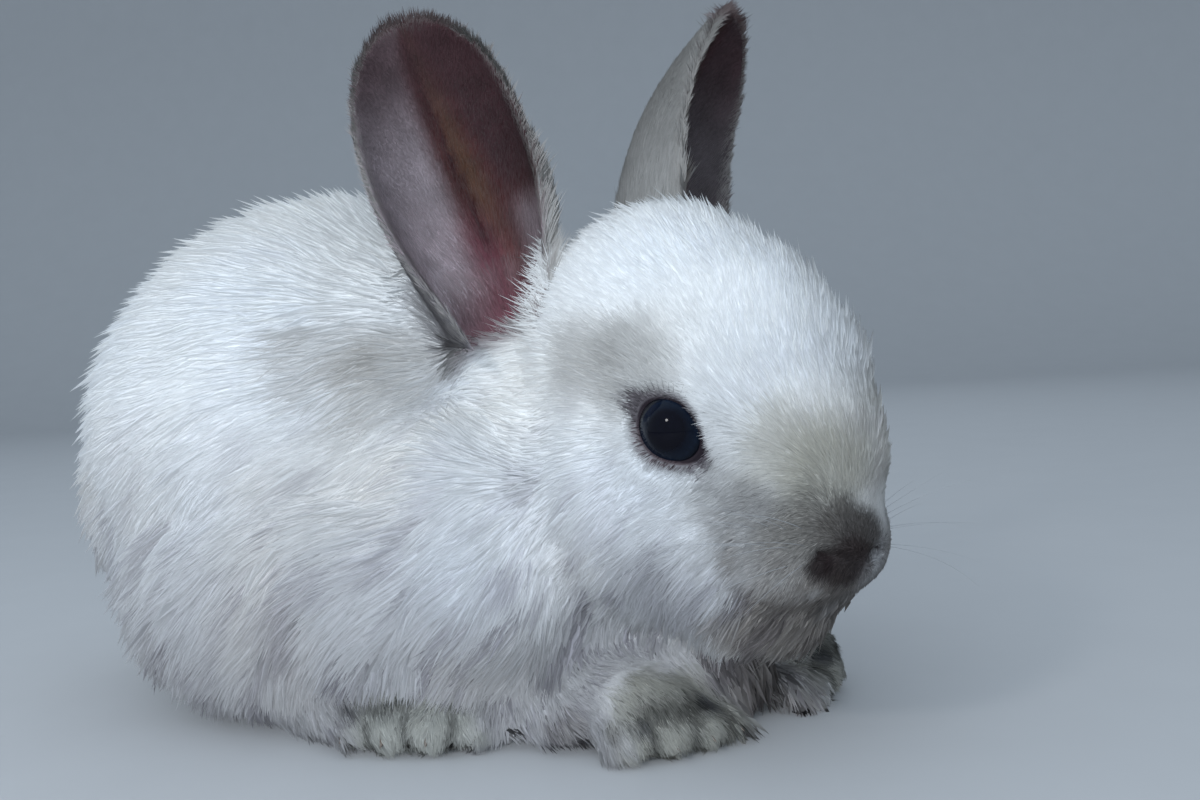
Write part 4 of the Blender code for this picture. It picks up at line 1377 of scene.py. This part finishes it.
def eye_material():
    """A dark wet eye with a faint blue iris."""
    material, nodes, links, shader = new_material("eye")
    ring = nodes.new("ShaderNodeAttribute")
    ring.attribute_name = "from_pupil"
    ramp = nodes.new("ShaderNodeValToRGB")
    links.new(ring.outputs["Fac"], ramp.inputs["Fac"])
    stops = ramp.color_ramp.elements
    stops[0].position, stops[0].color = PUPIL
    stops[1].position, stops[1].color = EYE_EDGE
    for place, colour in IRIS:
        stops.new(place).color = colour
    fibres = noise_node(nodes, links, 1500.0, 6.0)
    colour = tinted(nodes, links, ramp.outputs["Color"], ranged(nodes, links, fibres, 0.5, 1.5))
    links.new(colour, shader.inputs["Base Color"])
    links.new(ranged(nodes, links, fibres, 0.03, 0.07), shader.inputs["Roughness"])
    shader.inputs["Specular IOR Level"].default_value = 0.13
    return material


def two_tone(name, scale, dark, pale):
    """A material that a fine grain moves between two colours; and its nodes."""
    material, nodes, links, shader = new_material(name)
    grain = noise_node(nodes, links, scale)
    ramp = nodes.new("ShaderNodeValToRGB")
    for stop, colour in zip(ramp.color_ramp.elements, (dark, pale)):
        stop.color = colour
    links.new(grain, ramp.inputs["Fac"])
    links.new(ramp.outputs["Color"], shader.inputs["Base Color"])
    return material, nodes, links, shader, grain


def horn_material():
    material, nodes, links, shader, grain = two_tone(
        "horn", 1800.0, (0.09, 0.07, 0.06, 1), (0.30, 0.25, 0.21, 1)
    )
    links.new(ranged(nodes, links, grain, 0.3, 0.5), shader.inputs["Roughness"])
    return material


def floor_material():
    material, _, _, shader, _ = two_tone("floor", 40.0, (0.44, 0.44, 0.45, 1), (0.47, 0.47, 0.48, 1))
    shader.inputs["Roughness"].default_value = 0.6
    return material


# ---------------------------------------------------------------- eyes, whiskers, lashes

CORNEA_RISE = 0.35
EYE_VIEW = math.radians(62)
BALL_ROWS = 40
BALL_SIDES = 64


def closed_ball():
    """A ball of radius 1: its points in rows from the low pole up, its loops and their starts."""
    rise = np.repeat((np.arange(1, BALL_ROWS) / BALL_ROWS - 0.5) * math.pi, BALL_SIDES)
    turn = np.tile(np.arange(BALL_SIDES) * 2 * math.pi / BALL_SIDES, BALL_ROWS - 1)
    flat = np.cos(rise)
    points = np.stack([flat * np.cos(turn), flat * np.sin(turn), np.sin(rise)], axis=1)
    low, high = len(points), len(points) + 1
    top = low - BALL_SIDES
    faces = tube_faces(BALL_ROWS - 2, BALL_SIDES)
    for index in range(BALL_SIDES):
        after = (index + 1) % BALL_SIDES
        faces += [(low, after, index), (high, top + index, top + after)]
    sizes = [len(face) for face in faces]
    return np.concatenate([points, [-UP, UP]]), np.concatenate(faces), np.cumsum([0] + sizes[:-1])


def build_eye(side_name, material):
    """An eyeball with a raised cornea, and how far each point is from the pupil's middle."""
    side = SIDES[side_name]
    out, _, _ = eye_axes(side)
    ball, loops, starts = closed_ball()
    turn = Vector((0, 0, 1)).rotation_difference(Vector(out)).to_matrix()
    cornea = CORNEA_RISE * smooth(0.72, 1.0, ball[:, 2])
    from_pupil = np.arccos(np.clip(ball[:, 2], -1, 1)) / EYE_VIEW
    points = (ball * (EYE_RADIUS + cornea)[:, None]) @ np.array(turn).T + eye_centre(side)
    obj = mesh_object(f"eyeball_{side_name}", points, loops=loops, starts=starts)
    layer = obj.data.attributes.new("from_pupil", "FLOAT", "POINT")
    layer.data.foreach_set("value", np.clip(from_pupil, 0, 1).astype(np.float32))
    obj.data.materials.append(material)
    return obj


def hair_tubes(name, spines, radii, colour, material, sides=5):
    """Closed, tapered hairs along the given spines: (hairs, steps, 3)."""
    count, steps, _ = spines.shape
    way = unit(np.gradient(spines, axis=1))
    guide = unit(np.cross(way[:, 0], UP + 0.01))[:, None]
    across = unit(np.cross(way, np.broadcast_to(guide, way.shape)))
    up = np.cross(way, across)
    angle = np.arange(sides) * 2 * math.pi / sides
    taper = 1 - 0.88 * (np.arange(steps) / (steps - 1)) ** 1.2
    reach = radii[:, None, None, None] * taper[None, :, None, None]
    ring = across[:, :, None] * np.cos(angle)[:, None] + up[:, :, None] * np.sin(angle)[:, None]
    points = spines[:, :, None] + ring * reach
    per = steps * sides
    loops, starts = [], []
    for row in range(steps - 1):
        for corner in range(sides):
            after = (corner + 1) % sides
            low, high = row * sides, (row + 1) * sides
            starts.append(len(loops))
            loops += [low + corner, low + after, high + after, high + corner]
    for end in (range(sides)[::-1], range(per - sides, per)):
        starts.append(len(loops))
        loops += end
    all_loops = (np.arange(count)[:, None] * per + np.array(loops)).ravel()
    all_starts = (np.arange(count)[:, None] * len(loops) + np.array(starts)).ravel()
    obj = mesh_object(name, points.reshape(-1, 3), loops=all_loops, starts=all_starts)
    layer = obj.data.color_attributes.new("coat", "FLOAT_COLOR", "POINT")
    shades = np.ones((count * per, 4), np.float32)
    shades[:, :3] = colour
    layer.data.foreach_set("color", shades.ravel())
    obj.data.materials.append(material)
    return obj


WHISKERS_A_SIDE = 12
WHISKERS_IN_ROW = 5
WHISKER_THICKNESS = 0.026
WHISKER_COLOUR = np.array((0.52, 0.52, 0.54))
WHISKER_SWEEP = np.array((3.0, 0, 0))
LASHES_A_SIDE = 34
LASH_TURNS = (-0.2, 1.2)
LASH_THICKNESS = 0.035
LASH_COLOUR = np.array((0.05, 0.042, 0.045))


def build_whiskers(fields, material):
    """Fine pale whiskers from the pads, fanning out and a little down."""
    head = work_to_head(fields["points"])
    spines, radii = [], []
    for side in SIDES.values():
        for index in range(WHISKERS_A_SIDE):
            row, column = divmod(index, WHISKERS_IN_ROW)
            start = np.array((29.5 - 1.7 * column, side * (7.0 + 0.8 * column), -13.5 - 2.0 * row))
            start = head[np.argmin(np.sum((head - start) ** 2, axis=1))]
            out = unit(np.array((0.35 - 0.28 * column, side * 1.0, 0.42 - 0.3 * row))
                       + 0.10 * rng.normal(size=3))
            length = 17.0 - 1.2 * column + 2.0 * rng.random()
            droop = 2.0 + 2.0 * rng.random()
            t = np.linspace(0, 1, 12)[:, None]
            spine = start + out * (length * t) - UP * (droop * t * t) - WHISKER_SWEEP * t * t
            spines.append(head_to_work(spine))
            radii.append(WHISKER_THICKNESS + 0.012 * rng.random())
    return hair_tubes("whiskers", np.array(spines), np.array(radii), WHISKER_COLOUR, material)


def build_lashes(material):
    """Short fine lashes round the lids, more on the upper lid."""
    spines = []
    for side in SIDES.values():
        out, long, short = eye_axes(side)
        centre = eye_centre(side)
        for turn in np.linspace(*LASH_TURNS, LASHES_A_SIDE):
            angle = turn * math.pi
            direction = long * math.cos(angle) * EYE_HALF_LENGTH
            direction = direction + short * math.sin(angle) * EYE_HALF_HEIGHT
            size = np.linalg.norm(direction) * 1.05
            tilt = math.asin(min(0.98, size))
            way = out * math.cos(tilt) + unit(direction) * math.sin(tilt)
            start = centre + way * (EYE_RADIUS + 0.25)
            lead = unit(way * 0.7 + unit(direction) * 0.9 + 0.1 * rng.normal(size=3))
            t = np.linspace(0, 1, 6)[:, None]
            length = 1.3 + 0.6 * rng.random()
            spines.append(start + lead * (length * t) + unit(direction) * (0.5 * t * t))
    radii = np.full(len(spines), LASH_THICKNESS)
    return hair_tubes("lashes", np.array(spines), radii, LASH_COLOUR, material, 4)


# ---------------------------------------------------------------- stage, lights, camera

FLOOR_HALF = 3.0
FLOOR_FRONT = -2.0
BEND_AT = 1.1
BEND = 0.6
BEND_STEPS = 16
BACKDROP_TOP = 2.4


def build_stage():
    """A plain pale floor that sweeps up into a backdrop far behind."""
    bm = bmesh.new()
    profile = [(FLOOR_FRONT, 0.0), (BEND_AT, 0.0)]
    for step in range(1, BEND_STEPS + 1):
        angle = step / BEND_STEPS * math.pi / 2
        profile.append((BEND_AT + BEND * math.sin(angle), BEND - BEND * math.cos(angle)))
    profile.append((BEND_AT + BEND, BACKDROP_TOP))
    turn = Matrix.Rotation(CAMERA_AZIMUTH, 3, "Z")
    rows = []
    for y, z in profile:
        rows.append([bm.verts.new(turn @ Vector((x, y, z))) for x in (-FLOOR_HALF, FLOOR_HALF)])
    for low, high in zip(rows, rows[1:]):
        bm.faces.new((low[0], low[1], high[1], high[0]))
    mesh = bpy.data.meshes.new("floor")
    bm.to_mesh(mesh)
    bm.free()
    mesh.shade_smooth()
    obj = bpy.data.objects.new("floor", mesh)
    bpy.context.scene.collection.objects.link(obj)
    mesh.materials.append(floor_material())


# Three broad soft lamps, each with its place and power, and a small one for the eye's highlight
LAMPS = {
    "overhead": ((-0.15, -0.25, 0.75), 0.9),
    "front": ((0.20, -0.54, 0.27), 3.45),
    "behind": ((-0.35, 0.60, 0.70), 1.1),
}
LAMP_SIZE = 0.8
LAMP_COLOUR = (0.80, 0.91, 1.0)
LAMP_TARGET = (0.0, 0.0, 0.04)
CATCH_WAY = Vector((-0.089, -0.837, 0.541))
CATCH_AWAY = 0.35
CATCH_SIZE = 0.05
CATCH_POWER = 0.20
SKY_COLOUR = (0.72, 0.86, 1.0, 1)
SKY_STRENGTH = 0.65


def area_light(name, place, target, size, power, colour):
    light = bpy.data.lights.new(name, "AREA")
    light.shape = "DISK"
    light.size = size
    light.energy = power
    light.color = colour
    obj = bpy.data.objects.new(name, light)
    obj.location = place
    obj.rotation_euler = (Vector(target) - Vector(place)).to_track_quat("-Z", "Y").to_euler()
    obj.visible_glossy = size == CATCH_SIZE
    bpy.context.scene.collection.objects.link(obj)


def build_lights():
    """Even light from the sky and the lamps; only the catch light shows in the eye."""
    world = bpy.data.worlds.new("studio")
    bpy.context.scene.world = world
    world.use_nodes = True
    sky = world.node_tree.nodes["Background"].inputs
    sky["Color"].default_value = SKY_COLOUR
    sky["Strength"].default_value = SKY_STRENGTH
    for name, (place, power) in LAMPS.items():
        area_light(name, place, LAMP_TARGET, LAMP_SIZE, power, LAMP_COLOUR)
    eye = Vector(to_row(eye_centre(-1)))
    area_light("catch", eye + CATCH_WAY * CATCH_AWAY, eye, CATCH_SIZE, CATCH_POWER, (1.0, 1.0, 1.0))


def build_camera():
    place = to_row(eye_centre(-1) + CAMERA_FROM_EYE)
    azimuth, pitch = CAMERA_AZIMUTH, CAMERA_PITCH
    view = Vector((
        -math.sin(azimuth) * math.cos(pitch), math.cos(azimuth) * math.cos(pitch), math.sin(pitch)
    ))
    right = Vector((math.cos(azimuth), math.sin(azimuth), 0.0))
    up = right.cross(view)
    axes = Matrix((right, up, -view)).transposed() @ Matrix.Rotation(CAMERA_ROLL, 3, "Z")
    camera = bpy.data.cameras.new("camera")
    camera.lens = CAMERA_LENS
    camera.sensor_width = 36.0
    camera.clip_start = 0.005
    obj = bpy.data.objects.new("camera", camera)
    obj.matrix_world = Matrix.Translation(Vector(place)) @ axes.to_4x4()
    bpy.context.scene.collection.objects.link(obj)
    bpy.context.scene.camera = obj


# ---------------------------------------------------------------- putting it together

# Painted shade on the skin where the fur is short and the lamps reach it
BARE_SKIN_PAINTED_SHADE = 0.62


def settle(piece, slot_name, *replaced):
    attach(piece, "root")
    if replaced:
        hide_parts(*replaced)


def build():
    """The whole rabbit and its stage: skin, coat, eyes, hairs and claws."""
    skin, fields = build_skin()
    unwrap(skin)
    layer = skin.data.color_attributes.new("coat", "FLOAT_COLOR", "POINT")
    shades = np.ones((len(fields["points"]), 4), np.float32)
    # Painted shade: the skin is darker where the fur is short, and keeps its full colour under long
    # fur
    bare = mix(BARE_SKIN_PAINTED_SHADE, 1.0, smooth(1.5, 5.0, fields["values"][:, 1]))
    shades[:, :3] = fields["colour"] * bare[:, None]
    layer.data.foreach_set("color", shades.ravel())
    skin.data.materials.clear()
    skin.data.materials.append(skin_material())
    settle(skin, "coat", *FLESH, "ear_right", "ear_left")

    fur = fur_material("fur", 0.65, 0.5)
    for piece in build_coat(skin, fields):
        piece.data.materials.append(fur)
        piece.visible_shadow = False
        settle(piece, "coat")

    eye = eye_material()
    for side_name in SIDES:
        settle(build_eye(side_name, eye), "eye", f"eye_{side_name}")
    hair = fur_material("long_hair", 0.45, 0.35)
    settle(build_whiskers(fields, hair), "coat")
    settle(build_lashes(hair), "coat")

    horn = horn_material()
    for name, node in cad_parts.items():
        if name.startswith("claw"):
            node.data.materials.clear()
            node.data.materials.append(horn)

    build_stage()
    build_lights()
    build_camera()
    bpy.context.scene.view_settings.view_transform = "Standard"


build()
